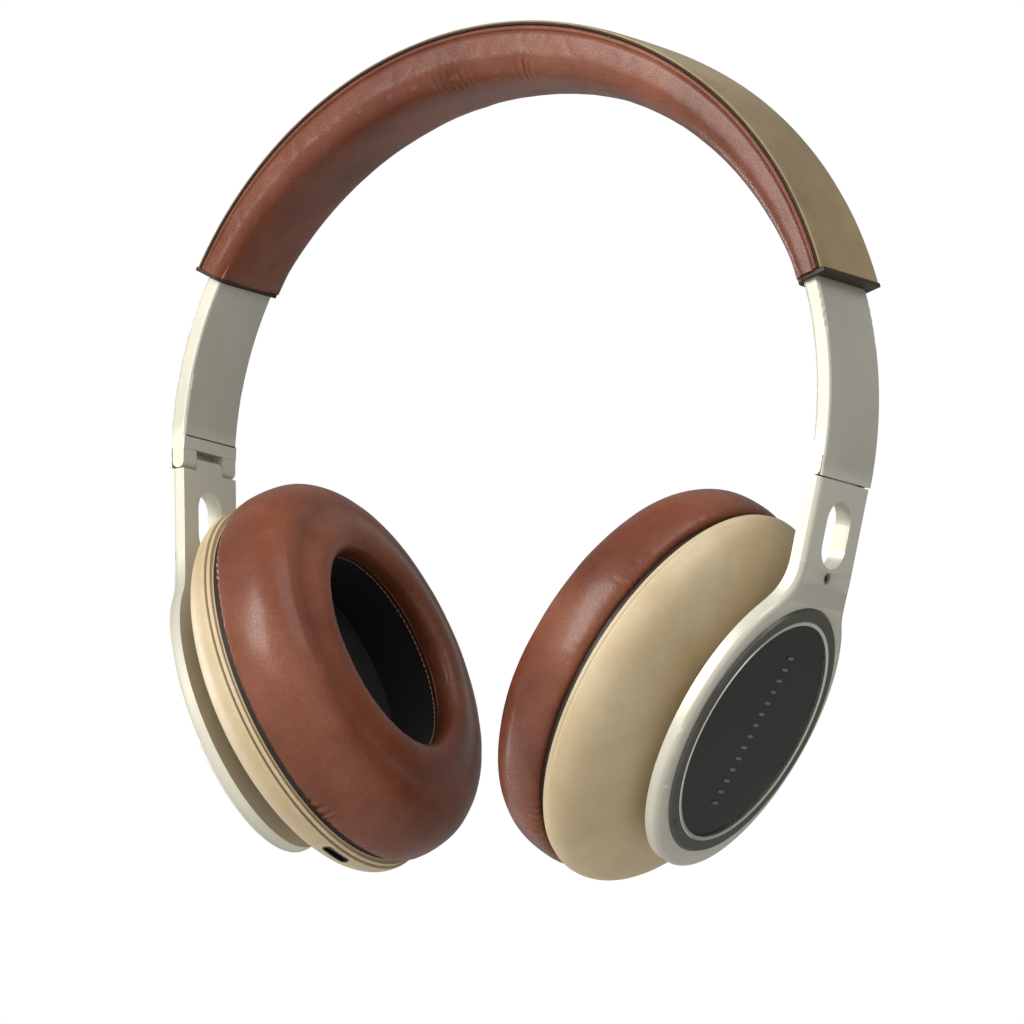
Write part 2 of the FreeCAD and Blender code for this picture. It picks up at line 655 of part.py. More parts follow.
def make_badge():
    base = YOKE_FACE_Z - BEZEL_DEPTH
    r0 = BEZEL_H / 2
    r1, r2 = r0 - BEZEL_BAND, r0 - BEZEL_BAND - RIM_BAND
    top, rim_top = YOKE_FACE_Z + BEZEL_PROUD, YOKE_FACE_Z + RIM_PROUD
    edge = r0 - SEAT_GAP
    bezel = turned(
        [(r1, base), (edge, base), (edge, YOKE_FACE_Z), (edge - BEZEL_CHAMFER, top), (r1, top)], BEZEL_RATIO
    )
    shoulder = rim_top - RIM_CHAMFER
    rim = turned(
        [(r2, base), (r1, base), (r1, shoulder), (r1 - RIM_CHAMFER, rim_top), (r2, shoulder)], BEZEL_RATIO
    )
    crown = YOKE_FACE_Z + BADGE_PROUD
    plate = turned(
        [(0, base), (r2, base), (r2, crown - BADGE_CROWN), (0, crown)],
        BEZEL_RATIO,
        {2: (r2 * 0.6, crown - BADGE_CROWN * 0.36)},
    )
    for name, piece in (("badge_bezel", bezel), ("badge_rim", rim), ("badge_plate", plate)):
        piece.translate(V(0, YOKE_RISE, 0))
        both(name, piece, in_cup)


# ---------------------------------------------------------------- pivot
def make_pivot(dot_at, dot_side):
    flange = Part.makeCylinder(POST_FLANGE_R, POST_FLANGE_T, V(0, 0, YOKE_IN_Z))
    neck_low = PIVOT_Z + FORK_ROOT
    post = Part.makeCylinder(POST_R, YOKE_IN_Z - neck_low, V(0, 0, neck_low))
    ears, bores = [], []
    half = FORK_SPAN / 2
    for side in (-1, 1):
        y0 = min(side * half, side * (half + FORK_T))
        ear = box(-FORK_W / 2, FORK_W / 2, y0, y0 + FORK_T, PIVOT_Z, neck_low + 0.5)
        tip = Part.makeCylinder(FORK_W / 2, FORK_T, V(0, y0, PIVOT_Z), V(0, 1, 0))
        ears += [ear, tip]
        bore_low = V(0, y0 - 1, PIVOT_Z)
        bores.append(Part.makeCylinder(TRUNNION_R + TRUNNION_RUN, FORK_T + 2, bore_low, V(0, 1, 0)))
    both("pivot_post", flange.fuse([post] + ears).removeSplitter().cut(bores + post_screws()), in_cup)
    screws = [in_cup(s) for s in post_screws()]
    dot_face = dot_at + dot_side * DOT_DEPTH
    dot = Part.makeCylinder(DOT_R, DOT_L, dot_face, dot_side)
    drive = Part.makeCylinder(DOT_DRIVE_R, 2 * DOT_DRIVE_L, dot_face - dot_side * DOT_DRIVE_L, dot_side)
    both("yoke_screws", Part.makeCompound(screws + [dot.cut(drive)]))

    reach = half + FORK_T
    half_cross, half_t, end = CROSS_W / 2, CROSS_T / 2, half - CROSS_GAP
    cross = box(-half_cross, half_cross, -end, end, PIVOT_Z - half_t, PIVOT_Z + half_t)
    pins = [
        Part.makeCylinder(TRUNNION_R, 2 * reach, V(0, -reach, PIVOT_Z), V(0, 1, 0)),
        Part.makeCylinder(TRUNNION_R, 2 * reach, V(-reach, 0, PIVOT_Z), V(1, 0, 0)),
    ]
    both("gimbal_cross", cross.fuse(pins).removeSplitter(), in_cup)

    half_l, half_w = BRACKET_L / 2, BRACKET_W / 2
    plate = box(-half_l, half_l, -half_w, half_w, BRACKET_PLATE_Z, BRACKET_TOP_Z)
    inside, width = half_cross + EAR_GAP, reach + EAR_SPARE - half_cross - EAR_GAP
    ears, bores = [], []
    for x0 in (inside, -inside - width):
        ears.append(box(x0, x0 + width, -FORK_W / 2, FORK_W / 2, BRACKET_PLATE_Z, PIVOT_Z))
        ears.append(Part.makeCylinder(FORK_W / 2, width, V(x0, 0, PIVOT_Z), V(1, 0, 0)))
        bore_low = V(x0 - 1, 0, PIVOT_Z)
        bores.append(Part.makeCylinder(TRUNNION_R + TRUNNION_RUN, width + 2, bore_low, V(1, 0, 0)))
    holes = [Part.makeCylinder(SCREW_R, 3, V(x, y, BRACKET_PLATE_Z - 1)) for x, y in bracket_screw_points()]
    both("pivot_bracket", plate.fuse(ears).removeSplitter().cut(bores + holes), in_cup)


def bracket_screw_points():
    x, y = BRACKET_L / 2 - BRACKET_INSET_L, BRACKET_W / 2 - BRACKET_INSET_W
    return [(sx * x, sy * y) for sx in (-1, 1) for sy in (-1, 1)]


def baffle_screw_points():
    x, y = BAFFLE_SCREW_BACK * CUP_W / 2, BAFFLE_SCREW_UP * CUP_H / 2
    return [(sx * x, sy * y) for sx in (-1, 1) for sy in (-1, 1)]


# ---------------------------------------------------------------- cup
def dome_points(radius, height, steps=14):
    """Points of a superellipse from the rim up to the axis, as (radius, height)."""
    points = []
    for i in range(steps + 1):
        a = i / steps * math.pi / 2
        power = 2 / SHELL_POWER
        points.append((radius * math.cos(a) ** power, SHELL_FOOT + height * math.sin(a) ** power))
    points[-1] = (0.0, SHELL_FOOT + height)
    return points


def dome(radius, height):
    """A solid dome, squeezed to the cup's outline."""
    curve = Part.BSplineCurve()
    curve.interpolate([V(r, 0, z) for r, z in dome_points(radius, height)])
    top = V(0, 0, SHELL_FOOT + height)
    foot, rim = V(0, 0, SHELL_FOOT), V(radius, 0, SHELL_FOOT)
    wire = Part.Wire([Part.makeLine(foot, rim), curve.toShape(), Part.makeLine(top, foot)])
    return squeezed(Part.Face(wire).revolve(V(0, 0, 0), V(0, 0, 1), 360), CUP_SQUEEZE)


def cup_slab(radius, z0, z1):
    return turned([(0, z0), (radius, z0), (radius, z1), (0, z1)], CUP_SQUEEZE)


def stadium_x(length, height, at_y, at_z, x0, x1):
    """A rounded bar along x whose section is a slot of that length and height."""
    r = height / 2
    half = length / 2 - r
    ends = [Part.makeCylinder(r, x1 - x0, V(x0, at_y + s * half, at_z), V(1, 0, 0)) for s in (-1, 1)]
    return ends[0].fuse([ends[1], box(x0, x1, at_y - half, at_y + half, at_z - r, at_z + r)]).removeSplitter()


def shell_body(outer):
    inner = dome(CUP_RY - SHELL_T, SHELL_H - SHELL_T)
    bosses = []
    drills = []
    baffle_top = BAFFLE_T - FLOOR_GAP
    seats = [
        (BRACKET_TOP_Z, BRACKET_BITE, bracket_screw_points()),
        (baffle_top, BAFFLE_BITE, baffle_screw_points()),
    ]
    for low, bite, points in seats:
        for x, y in points:
            bosses.append(Part.makeCylinder(BOSS_R, PIECE_SPAN, V(x, y, low)).common(outer))
            drills.append(Part.makeCylinder(SCREW_R, bite, V(x, y, low)))
    shell = outer.cut(inner).fuse(bosses).removeSplitter()
    drills.append(Part.makeCylinder(SHELL_HOLE_R, PIECE_SPAN, V(0, 0, PIVOT_Z)))
    return shell.cut(drills)


def make_shells():
    body = shell_body(dome(CUP_RY, SHELL_H))
    low, high = CUP_W / 2 - PIECE_SPAN / 2, CUP_W / 2 + PIECE_SPAN / 2
    gap = 2 * CONTROL_GAP
    control_holes = [
        stadium_x(length + gap, BUTTON_H + gap, at, CONTROL_Z, low, high)
        for at, length in ((BUTTON_AT, BUTTON_L), (ROCKER_AT, ROCKER_L))
    ]
    parts["cup_shell_right"] = in_cup(body.cut(control_holes))
    jack_hole = round_rim(jack_rod(JACK_BODY_R, JACK_DEPTH + JACK_WALL), JACK_TURN)
    usb_hole = round_rim(usb_block(0.0), USB_TURN)
    parts["cup_shell_left"] = mirrored(in_cup(body.cut([jack_hole, usb_hole])))


def round_rim(shape, turn):
    """Moves a shape round the cup from its lowest point."""
    moved = shape.copy()
    moved.rotate(V(0, 0, 0), V(0, 0, 1), turn)
    return moved


def jack_rod(radius, depth):
    """A rod that runs in through the cup's lowest point."""
    over = PIECE_SPAN / 2
    return Part.makeCylinder(radius, depth + over, V(0, -CUP_RY - over, JACK_Z), V(0, 1, 0))


def usb_block(inset):
    """The USB socket's outline: a rounded bar that runs in through the cup's lowest point."""
    r = USB_H / 2 - inset
    half = USB_L / 2 - USB_H / 2
    over = PIECE_SPAN / 2
    y0, depth = -CUP_RY - over, USB_DEPTH + over
    ends = [Part.makeCylinder(r, depth, V(s * half, y0, USB_Z), V(0, 1, 0)) for s in (-1, 1)]
    middle = box(-half, half, y0, y0 + depth, USB_Z - r, USB_Z + r)
    return ends[0].fuse([ends[1], middle]).removeSplitter()


def make_sockets():
    body = round_rim(jack_rod(JACK_BODY_R, JACK_DEPTH + JACK_WALL), JACK_TURN)
    body = body.common(dome(CUP_RY, SHELL_H))
    bore = round_rim(jack_rod(JACK_R, JACK_DEPTH), JACK_TURN)
    parts["audio_socket"] = mirrored(in_cup(body.cut(bore)))
    usb = round_rim(usb_block(0.0), USB_TURN).common(dome(CUP_RY, SHELL_H))
    cavity = usb_block(USB_WALL)
    cavity.translate(V(0, -2 * USB_WALL, 0))
    half_w, half_t = USB_TONGUE_W / 2, USB_TONGUE_T / 2
    tongue = box(-half_w, half_w, USB_TONGUE_IN - CUP_RY, USB_DEPTH - CUP_RY, USB_Z - half_t, USB_Z + half_t)
    usb = usb.cut(round_rim(cavity, USB_TURN)).fuse(round_rim(tongue, USB_TURN)).removeSplitter()
    parts["usb_socket"] = mirrored(in_cup(usb))


def make_cup():
    edge_r = CUP_RY - TRIM_DEPTH
    seat_r = CUP_RY - SHELL_T
    low, high = -FLOOR_GAP, SHELL_FOOT
    middle = (low + high) / 2
    step_r, ledge_r = edge_r - TRIM_STEP, seat_r - TRIM_SEAT
    edge_low, edge_high = middle - TRIM_T / 2, middle + TRIM_T / 2
    trim = turned(
        [
            (ledge_r, low), (step_r, low), (step_r, edge_low), (edge_r, edge_low),
            (edge_r, edge_high), (step_r, edge_high), (step_r, high), (ledge_r, high),
        ],
        CUP_SQUEEZE,
    )
    both("trim_ring", trim, in_cup)
    screws = [screw(x, y, low, BAFFLE_T + BAFFLE_BITE) for x, y in baffle_screw_points()]
    baffle = cup_slab(ledge_r - SEAT_GAP, low, low + BAFFLE_T)
    driver_hole = Part.makeCylinder(DRIVER_HOLE_R, 2 * BAFFLE_T, V(0, 0, -BAFFLE_T))
    both("baffle", baffle.cut(screws + [driver_hole]), in_cup)
    for x, y in bracket_screw_points():
        head = Part.makeCylinder(SCREW_HEAD_R, SCREW_HEAD_T, V(x, y, BRACKET_PLATE_Z - SCREW_HEAD_T))
        shaft = Part.makeCylinder(SCREW_R, BRACKET_PLATE_T + BRACKET_BITE, V(x, y, BRACKET_PLATE_Z))
        screws.append(head.fuse(shaft))
    both("cup_screws", Part.makeCompound(screws), in_cup)
    ring_in, ring_out = EAR_H / 2 + RING_GAP, edge_r - TRIM_SEAT
    ring_corners = [(ring_in, CUSHION_TOP), (ring_out, CUSHION_TOP), (ring_out, low), (ring_in, low)]
    ring = turned(ring_corners, CUP_SQUEEZE)
    both("cushion_ring", ring, in_cup)
    floor_r = EAR_H / 2 + EAR_FLARE
    cloth = cup_slab(floor_r - SEAT_GAP, CUSHION_TOP - CLOTH_T, CUSHION_TOP)
    both("speaker_cloth", cloth, in_cup)
    make_cushion(floor_r)


def make_cushion(floor_r):
    top, face = CUSHION_TOP, CUSHION_TOP - CUSHION_T
    foot, edge, lip = CUSHION_FOOT_R, CUSHION_EDGE_R, EAR_LIP_R
    s = math.sqrt(0.5)
    mouth = EAR_H / 2
    points = [
        (floor_r, top), (CUP_RY - foot, top), (CUP_RY, top - foot), (CUP_RY, face + edge),
        (CUP_RY - edge, face), (mouth + lip, face), (mouth, face + lip),
    ]
    arcs = {
        1: (CUP_RY - foot * (1 - s), top - foot * (1 - s)),
        3: (CUP_RY - edge * (1 - s), face + edge * (1 - s)),
        5: (mouth + lip * (1 - s), face + lip * (1 - s)),
    }
    both("ear_cushion", turned(points, CUP_SQUEEZE, arcs), in_cup)


def make_driver():
    low = -FLOOR_GAP
    flange_low = low - DRIVER_FLANGE_T
    magnet_low = DRIVER_DEPTH - MAGNET_T
    wall_r = MAGNET_R + BASKET_T
    frame = turned(
        [
            (DRIVER_R - DRIVER_RIM, flange_low), (DRIVER_R, flange_low), (DRIVER_R, low),
            (DRIVER_HOLE_R - SEAT_GAP, low), (wall_r, magnet_low), (wall_r, DRIVER_DEPTH),
            (MAGNET_R, DRIVER_DEPTH), (MAGNET_R, magnet_low - MAGNET_STEP),
            (DRIVER_HOLE_R - BASKET_T, low - BASKET_STEP),
        ]
    )
    both("driver_frame", frame, in_cup)
    back = BRACKET_PLATE_Z - MAGNET_BACK_GAP
    slot_in, slot_out = COIL_R - COIL_GAP_W / 2, COIL_R + COIL_GAP_W / 2
    slot_top = DRIVER_DEPTH - COIL_IN
    magnet = turned(
        [
            (0, magnet_low), (slot_in, magnet_low), (slot_in, slot_top), (slot_out, slot_top),
            (slot_out, magnet_low), (MAGNET_R, magnet_low), (MAGNET_R, back), (0, back),
        ]
    )
    both("driver_magnet", magnet, in_cup)
    t = DIAPHRAGM_T
    rim_low, rim_out, rim_in = flange_low - t, DRIVER_R - RING_GAP, DRIVER_R - SURROUND_W
    cap_r, coil_out, coil_top = COIL_R / 2, COIL_R + COIL_WALL, magnet_low + COIL_IN
    diaphragm = turned(
        [
            (0, -DOME_DROP), (cap_r, -DOME_DROP), (COIL_R, CONE_RISE), (rim_in - t, rim_low),
            (rim_out, rim_low), (rim_out, flange_low), (rim_in, flange_low), (coil_out, CONE_RISE + t),
            (coil_out, coil_top),
            (COIL_R, coil_top), (COIL_R, CONE_RISE + t), (cap_r, t - DOME_DROP), (0, t - DOME_DROP),
        ]
    )
    both("driver_diaphragm", diaphragm, in_cup)


# ---------------------------------------------------------------- controls and electrics
def dome_reach(radius, height, y, z):
    """How far a dome's surface lies from the cup's axis along x, at that y and z."""
    level = 1 - ((z - SHELL_FOOT) / height) ** SHELL_POWER
    r = radius * level ** (1 / SHELL_POWER)
    return CUP_SQUEEZE * math.sqrt(r * r - y * y)


def control_wall(at, length):
    """The nearest stretch of the shell's inside to the flange of a control."""
    far_end = abs(at) + length / 2 + FLANGE_OVER
    return dome_reach(CUP_RY - SHELL_T, SHELL_H - SHELL_T, far_end, CONTROL_Z + FLANGE_H / 2) - FLANGE_GAP


def make_controls():
    """Two caps that follow the shell's surface, a little proud of it, each with a flange inside."""
    for name, at, length in (("power_button", BUTTON_AT, BUTTON_L), ("volume_rocker", ROCKER_AT, ROCKER_L)):
        wall = control_wall(at, length)
        cap = stadium_x(length, BUTTON_H, at, CONTROL_Z, wall - FLANGE_T / 2, CUP_W / 2 + 4)
        cap = cap.common(dome(CUP_RY + BUTTON_PROUD, SHELL_H + BUTTON_PROUD))
        wide, tall = length / 2 + FLANGE_OVER, FLANGE_H / 2
        flange = box(wall - FLANGE_T, wall, at - wide, at + wide, CONTROL_Z - tall, CONTROL_Z + tall)
        piece = cap.fuse(flange)
        if name == "volume_rocker":
            rib_at = V(wall - FLANGE_T / 2, at, CONTROL_Z - tall)
            piece = piece.fuse(Part.makeCylinder(ROCK_PIN_R, FLANGE_H, rib_at))
        parts[name] = in_cup(piece.removeSplitter())


def make_electrics():
    board_x = control_wall(BUTTON_AT, BUTTON_L) - FLANGE_T - BUTTON_TRAVEL - SWITCH_GAP - SWITCH_T
    back_x = board_x - BOARD_T
    low = BAFFLE_T + FLOOR_GAP
    high = low + BOARD_W
    board = box(back_x, board_x, BOARD_LOW, BOARD_HIGH, low, high)
    chips = [
        box(back_x - thick, back_x, y0, y1, low + CHIP_INSET, high - CHIP_INSET) for y0, y1, thick in CHIPS
    ]
    half_l, half_h = SWITCH_L / 2, SWITCH_H / 2
    switches = [
        box(board_x, board_x + SWITCH_T, y - half_l, y + half_l, CONTROL_Z - half_h, CONTROL_Z + half_h)
        for y in (BUTTON_AT, ROCKER_AT - ROCKER_SWITCH, ROCKER_AT + ROCKER_SWITCH)
    ]
    parts["control_board"] = in_cup(board.fuse(chips + switches).removeSplitter())
    cell = box(-CELL_L / 2, CELL_L / 2, CELL_LOW, CELL_LOW + CELL_W, low, low + CELL_T)
    corners = edges_where(cell, lambda e: abs(e.BoundBox.ZLength - CELL_T) < 0.01)
    parts["battery_pack"] = mirrored(in_cup(cell.makeFillet(CELL_EDGE_R, corners)))


make_headband()
both("slider_arm", make_arm())
make_hinge()
DOT_AT, DOT_SIDE = make_yoke()
make_badge()
make_pivot(DOT_AT, DOT_SIDE)
make_shells()
make_sockets()
make_cup()
make_driver()
make_controls()
make_electrics()

os.makedirs("parts", exist_ok=True)
for old in os.listdir("parts"):
    if old.endswith(".step"):
        os.remove(os.path.join("parts", old))
for name, shape in parts.items():
    shape.exportStep(os.path.join("parts", name + ".step"))
    print(name, len(shape.Solids), round(shape.Volume, 1), shape.isValid())
print(len(parts), "nodes")
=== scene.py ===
import json
import math

import bpy
import numpy as np
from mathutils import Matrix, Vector, noise

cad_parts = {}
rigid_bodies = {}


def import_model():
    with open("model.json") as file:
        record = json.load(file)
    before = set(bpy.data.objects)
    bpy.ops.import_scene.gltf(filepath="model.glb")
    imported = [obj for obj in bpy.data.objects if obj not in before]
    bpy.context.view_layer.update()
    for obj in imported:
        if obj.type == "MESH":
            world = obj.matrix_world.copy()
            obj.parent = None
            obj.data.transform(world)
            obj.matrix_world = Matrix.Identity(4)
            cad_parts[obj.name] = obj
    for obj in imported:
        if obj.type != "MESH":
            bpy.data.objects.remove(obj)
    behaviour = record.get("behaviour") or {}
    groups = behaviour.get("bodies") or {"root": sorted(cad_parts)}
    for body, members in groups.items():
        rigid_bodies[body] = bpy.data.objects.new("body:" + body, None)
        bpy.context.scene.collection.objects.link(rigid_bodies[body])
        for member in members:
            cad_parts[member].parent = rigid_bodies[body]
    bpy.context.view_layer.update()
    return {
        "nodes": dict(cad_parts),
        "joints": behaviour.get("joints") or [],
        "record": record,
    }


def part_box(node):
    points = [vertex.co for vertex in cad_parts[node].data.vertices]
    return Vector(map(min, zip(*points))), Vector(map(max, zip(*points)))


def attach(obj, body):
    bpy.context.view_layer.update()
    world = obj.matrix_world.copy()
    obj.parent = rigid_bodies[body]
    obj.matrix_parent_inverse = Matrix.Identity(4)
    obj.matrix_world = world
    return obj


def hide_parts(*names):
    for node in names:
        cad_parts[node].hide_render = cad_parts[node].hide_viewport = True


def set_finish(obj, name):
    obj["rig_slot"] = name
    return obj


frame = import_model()

# Looks of the folding over-ear headphones, in metres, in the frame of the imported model:
# +Z up, +X to the right cup, +Y to the back, origin under the pad at the crown.
MM = 0.001
JOINTS = {j["name"]: j for j in frame["joints"]}
SIDES = {"right": 1, "left": -1}

# ---- band, from the frame ----
AXIS_Z = JOINTS["slide_right"]["pos_m"][2]
COVER_LOW, COVER_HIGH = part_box("headband_cover")
PAD_LOW, PAD_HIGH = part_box("headband_pad")
BAND_R = COVER_HIGH.z - AXIS_Z
COVER_T = 1.3 * MM
COVER_R = BAND_R - COVER_T
COVER_Y = COVER_HIGH.y
PAD_Y = PAD_HIGH.y
MOUTH = math.asin((COVER_LOW.z - AXIS_Z) / COVER_R)
PAD_END_T = 7.3 * MM
CHANNEL_Y = 11.05 * MM    # hollow in the pad for the guide sleeve
CHANNEL_R = 82.5 * MM
PAD_SINK = 0.25 * MM      # the pad's top edge, below the cover
PAD_TUCK = 0.10           # how much the pad draws in at its ends
PAD_TUCK_L = 3.0 * MM
PAD_CROWN = 0.55          # share of the pad's depth that its rounded underside takes
PAD_SIDE_POWER = 3.1      # superellipse of the underside: across, and down
PAD_LOW_POWER = 2.7
PAD_PINCH = 0.55 * MM     # how far the sides draw in at the welt
PAD_SWELL = 0.25 * MM     # how far the sides bulge
COVER_EDGE_R = 0.6 * MM
COVER_CROWN = 0.30 * MM
COVER_EASE = 0.02 * MM    # keeps the rolled edge inside the cover's thickness
WELT_R = 0.62 * MM
WELT_DROP = 0.75 * MM     # welt's centre, below the seam, and in from the pad's side
WELT_IN = 0.42 * MM
EDGE_R = 0.34 * MM
EDGE_RISE = 0.22 * MM     # dark edge bead's centre (the cover's painted edge, and painted shade of the groove beside it), above the seam, and in from the cover's side
EDGE_IN = 0.16 * MM
ARM_IN_R = 83.3 * MM      # inner face of the arms
ARM_Y = 9.6 * MM
SEAM_AT = math.radians(-2.3)  # upper seam of the hinge bracket
SEAM_R = 0.14 * MM

# ---- cup, in its own frame: back, up the lean, outward ----
PIVOT_OUT = 11.0 * MM     # pivot above the parting plane
CUP_RY = 44.7 * MM
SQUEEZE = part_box("ear_cushion_right")[1].y / CUP_RY
CUSHION_TOP = -1.4 * MM
LIP_R = 24.7 * MM         # where the lip's leather is sewn to the lining
LIP_OUT = -15.3 * MM
FLOOR_R = 27.2 * MM       # floor of the ear opening, under the speaker cloth
LINING_FOOT_R = 26.7 * MM
DOME_H = 1.4 * MM         # speaker cloth, over the driver
CONE_H = 0.35 * MM
STITCHES = 110
STITCH_L = 1.1 * MM
STITCH_R = 0.13 * MM
MEAN_SHARE = 0.92         # an oval's mean radius, as a share of its reach along the lean
BARS = 14                 # bars on the badge
BAR_PITCH = 2.75 * MM
BAR_LONG = 1.05 * MM      # half sizes of a bar, across the badge and along it
BAR_WIDE = 0.36 * MM
BAR_T = 0.08 * MM
BAR_FLOOR = 0.44 * MM     # badge's face, out of the yoke's plate
PLATE_OUT = 22.1 * MM     # outer face of the yoke's plate
PLATE_RISE = 2.7 * MM


# ---------------------------------------------------------------- mesh tools
def link(name, mesh):
    piece = bpy.data.objects.new(name, mesh)
    bpy.context.scene.collection.objects.link(piece)
    return piece


def mark_sharp(mesh, degrees=38.0):
    """Shades smooth, with sharp edges where faces meet at more than the given angle."""
    mesh.polygons.foreach_set("use_smooth", [True] * len(mesh.polygons))
    limit = math.cos(math.radians(degrees))
    faces_of = {}
    for face in mesh.polygons:
        for key in face.edge_keys:
            faces_of.setdefault(key, []).append(face.normal)
    for edge in mesh.edges:
        normals = faces_of.get(edge.key, [])
        if len(normals) == 2 and normals[0].dot(normals[1]) < limit:
            edge.use_edge_sharp = True


def grid_piece(name, rows, wrap_u=False, wrap_v=False, caps=False, sharp=38.0, flip=False):
    """A piece from a grid of points, rows[u][v], closed along u or v if asked."""
    rows = np.asarray(rows, float)
    nu, nv = rows.shape[:2]
    faces = []
    for u in range(nu if wrap_u else nu - 1):
        for v in range(nv if wrap_v else nv - 1):
            u1, v1 = (u + 1) % nu, (v + 1) % nv
            quad = (u * nv + v, u * nv + v1, u1 * nv + v1, u1 * nv + v)
            faces.append(quad[::-1] if flip else quad)
    if caps:
        first, last = list(range(nv)), [(nu - 1) * nv + v for v in range(nv)]
        faces.append(first if flip else first[::-1])
        faces.append(last[::-1] if flip else last)
    mesh = bpy.data.meshes.new(name)
    mesh.from_pydata(rows.reshape(-1, 3).tolist(), [], faces)
    mesh.update()
    mark_sharp(mesh, sharp)
    return link(name, mesh)


def joined(name, pieces):
    """One piece from several, so that what repeats is one object."""
    points, faces = [], []
    for piece in pieces:
        start = len(points)
        points += [v.co.copy() for v in piece.data.vertices]
        faces += [[start + i for i in f.vertices] for f in piece.data.polygons]
        bpy.data.objects.remove(piece)
    mesh = bpy.data.meshes.new(name)
    mesh.from_pydata([tuple(p) for p in points], [], faces)
    mesh.update()
    mark_sharp(mesh)
    return link(name, mesh)


def lump(point, scale, seed=0.0):
    """Smooth noise from -1 to 1 at a point in metres."""
    return noise.noise(Vector(point) * scale + Vector((seed, seed * 1.7, -seed)))


def fade(x, low, high):
    """0 below low, 1 above high, smooth between."""
    t = min(1.0, max(0.0, (x - low) / (high - low)))
    return t * t * (3 - 2 * t)


# ---------------------------------------------------------------- band geometry
def band_point(radius, angle, y):
    return (radius * math.cos(angle), y, AXIS_Z + radius * math.sin(angle))


def pad_inner_radius(angle):
    """The pad's lower surface: one flatter arc through the crown and both ends."""
    end_r = COVER_R - PAD_END_T
    end_x = end_r * math.cos(MOUTH)
    end_z = AXIS_Z + end_r * math.sin(MOUTH)
    arc_r = (end_x**2 + end_z**2) / (-2 * end_z)
    lift = arc_r + AXIS_Z
    return -lift * math.sin(angle) + math.sqrt(arc_r**2 - (lift * math.cos(angle)) ** 2)


def band_angles(count, inset=0.0):
    low, high = MOUTH + inset, math.pi - MOUTH - inset
    return [low + (high - low) * i / (count - 1) for i in range(count)]


PUCKERS = (
    # angle, spread (degrees), depth of the deepest fold, side (-1 front)
    (104.0, 5.6, 0.60 * MM, -1),
    (90.0, 2.4, 0.55 * MM, -1),
    (98.0, 4.0, 0.40 * MM, 1),
    (81.0, 3.4, 0.36 * MM, 1),
)


def pucker(angle, y, low_share):
    """Depth of the small gathered folds on the pad's side; low_share is 0 at its top and 1 underneath."""
    deg = math.degrees(angle)
    depth = 0.0
    for at, spread, deepest, side in PUCKERS:
        if y * side <= 0:
            continue
        off = (deg - at) / spread
        if abs(off) > 2.2:
            continue
        envelope = math.exp(-off * off * 1.6)
        wander = noise.noise(Vector((deg * 0.9, low_share * 2.0, at)))
        ridge = math.sin(deg * 5.1 + wander * 2.2 + at)
        reach = fade(low_share, 0.44 + 0.16 * abs(wander), 0.72) * (1 - fade(low_share, 0.90, 1.0))
        depth += deepest * envelope * reach * (0.5 + 0.5 * ridge) ** 1.5
    return depth


def make_pad():
    """The pad: a soft channel with a crowned underside, bulged sides and gathered folds."""
    rows = []
    side_steps, low_steps = 22, 44
    for angle in band_angles(420):
        inner = pad_inner_radius(angle)
        top = COVER_R - PAD_SINK
        from_end = min(angle - MOUTH, math.pi - MOUTH - angle) * COVER_R
        tuck = 1 - PAD_TUCK * (1 - fade(from_end, 0.0, PAD_TUCK_L))
        depth = top - inner
        ring = []
        for i in range(-low_steps, low_steps + 1):
            a = i / low_steps * math.pi / 2
            y = PAD_Y * math.copysign(abs(math.sin(a)) ** (2 / PAD_SIDE_POWER), a)
            drop = math.cos(a) ** (2 / PAD_LOW_POWER)
            ring.append([y, inner + depth * PAD_CROWN * (1 - drop * tuck)])
        shoulder = inner + depth * PAD_CROWN
        up = []
        for i in range(1, side_steps + 1):
            t = i / side_steps
            pinch = PAD_PINCH * fade(t, 0.62, 1.0)
            up.append([PAD_Y - pinch, shoulder + (top - shoulder) * t])
        ring = [[-y, r] for y, r in reversed(up)] + ring + up
        shaped = []
        for y, r in ring:
            low_share = (top - r) / depth
            swell = PAD_SWELL * math.sin(math.pi * min(1, low_share * 1.15))
            y += math.copysign(swell * abs(y / PAD_Y) ** 6, y)
            place = band_point(r, angle, y)
            soft = 0.16 * MM * lump(place, 90.0, 3.0) + 0.07 * MM * lump(place, 260.0, 9.0)
            side_share = fade(abs(y) / PAD_Y, 0.55, 0.98)
            fold = pucker(angle, y, low_share) * side_share
            y -= math.copysign(fold, y)
            r += fold * 0.5 * (1 - side_share) - soft * (1 - side_share)
            y += math.copysign(soft * side_share, y)
            shaped.append(band_point(r, angle, y))
        channel = [(CHANNEL_Y, top), (CHANNEL_Y, CHANNEL_R), (-CHANNEL_Y, CHANNEL_R), (-CHANNEL_Y, top)]
        shaped += [band_point(r, angle, y) for y, r in channel]
        rows.append(shaped)
    pad = grid_piece("pad_leather", rows, wrap_v=True, caps=True)
    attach(pad, "headband")
    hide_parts("headband_pad")
    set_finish(pad, "brown_leather")
    return pad


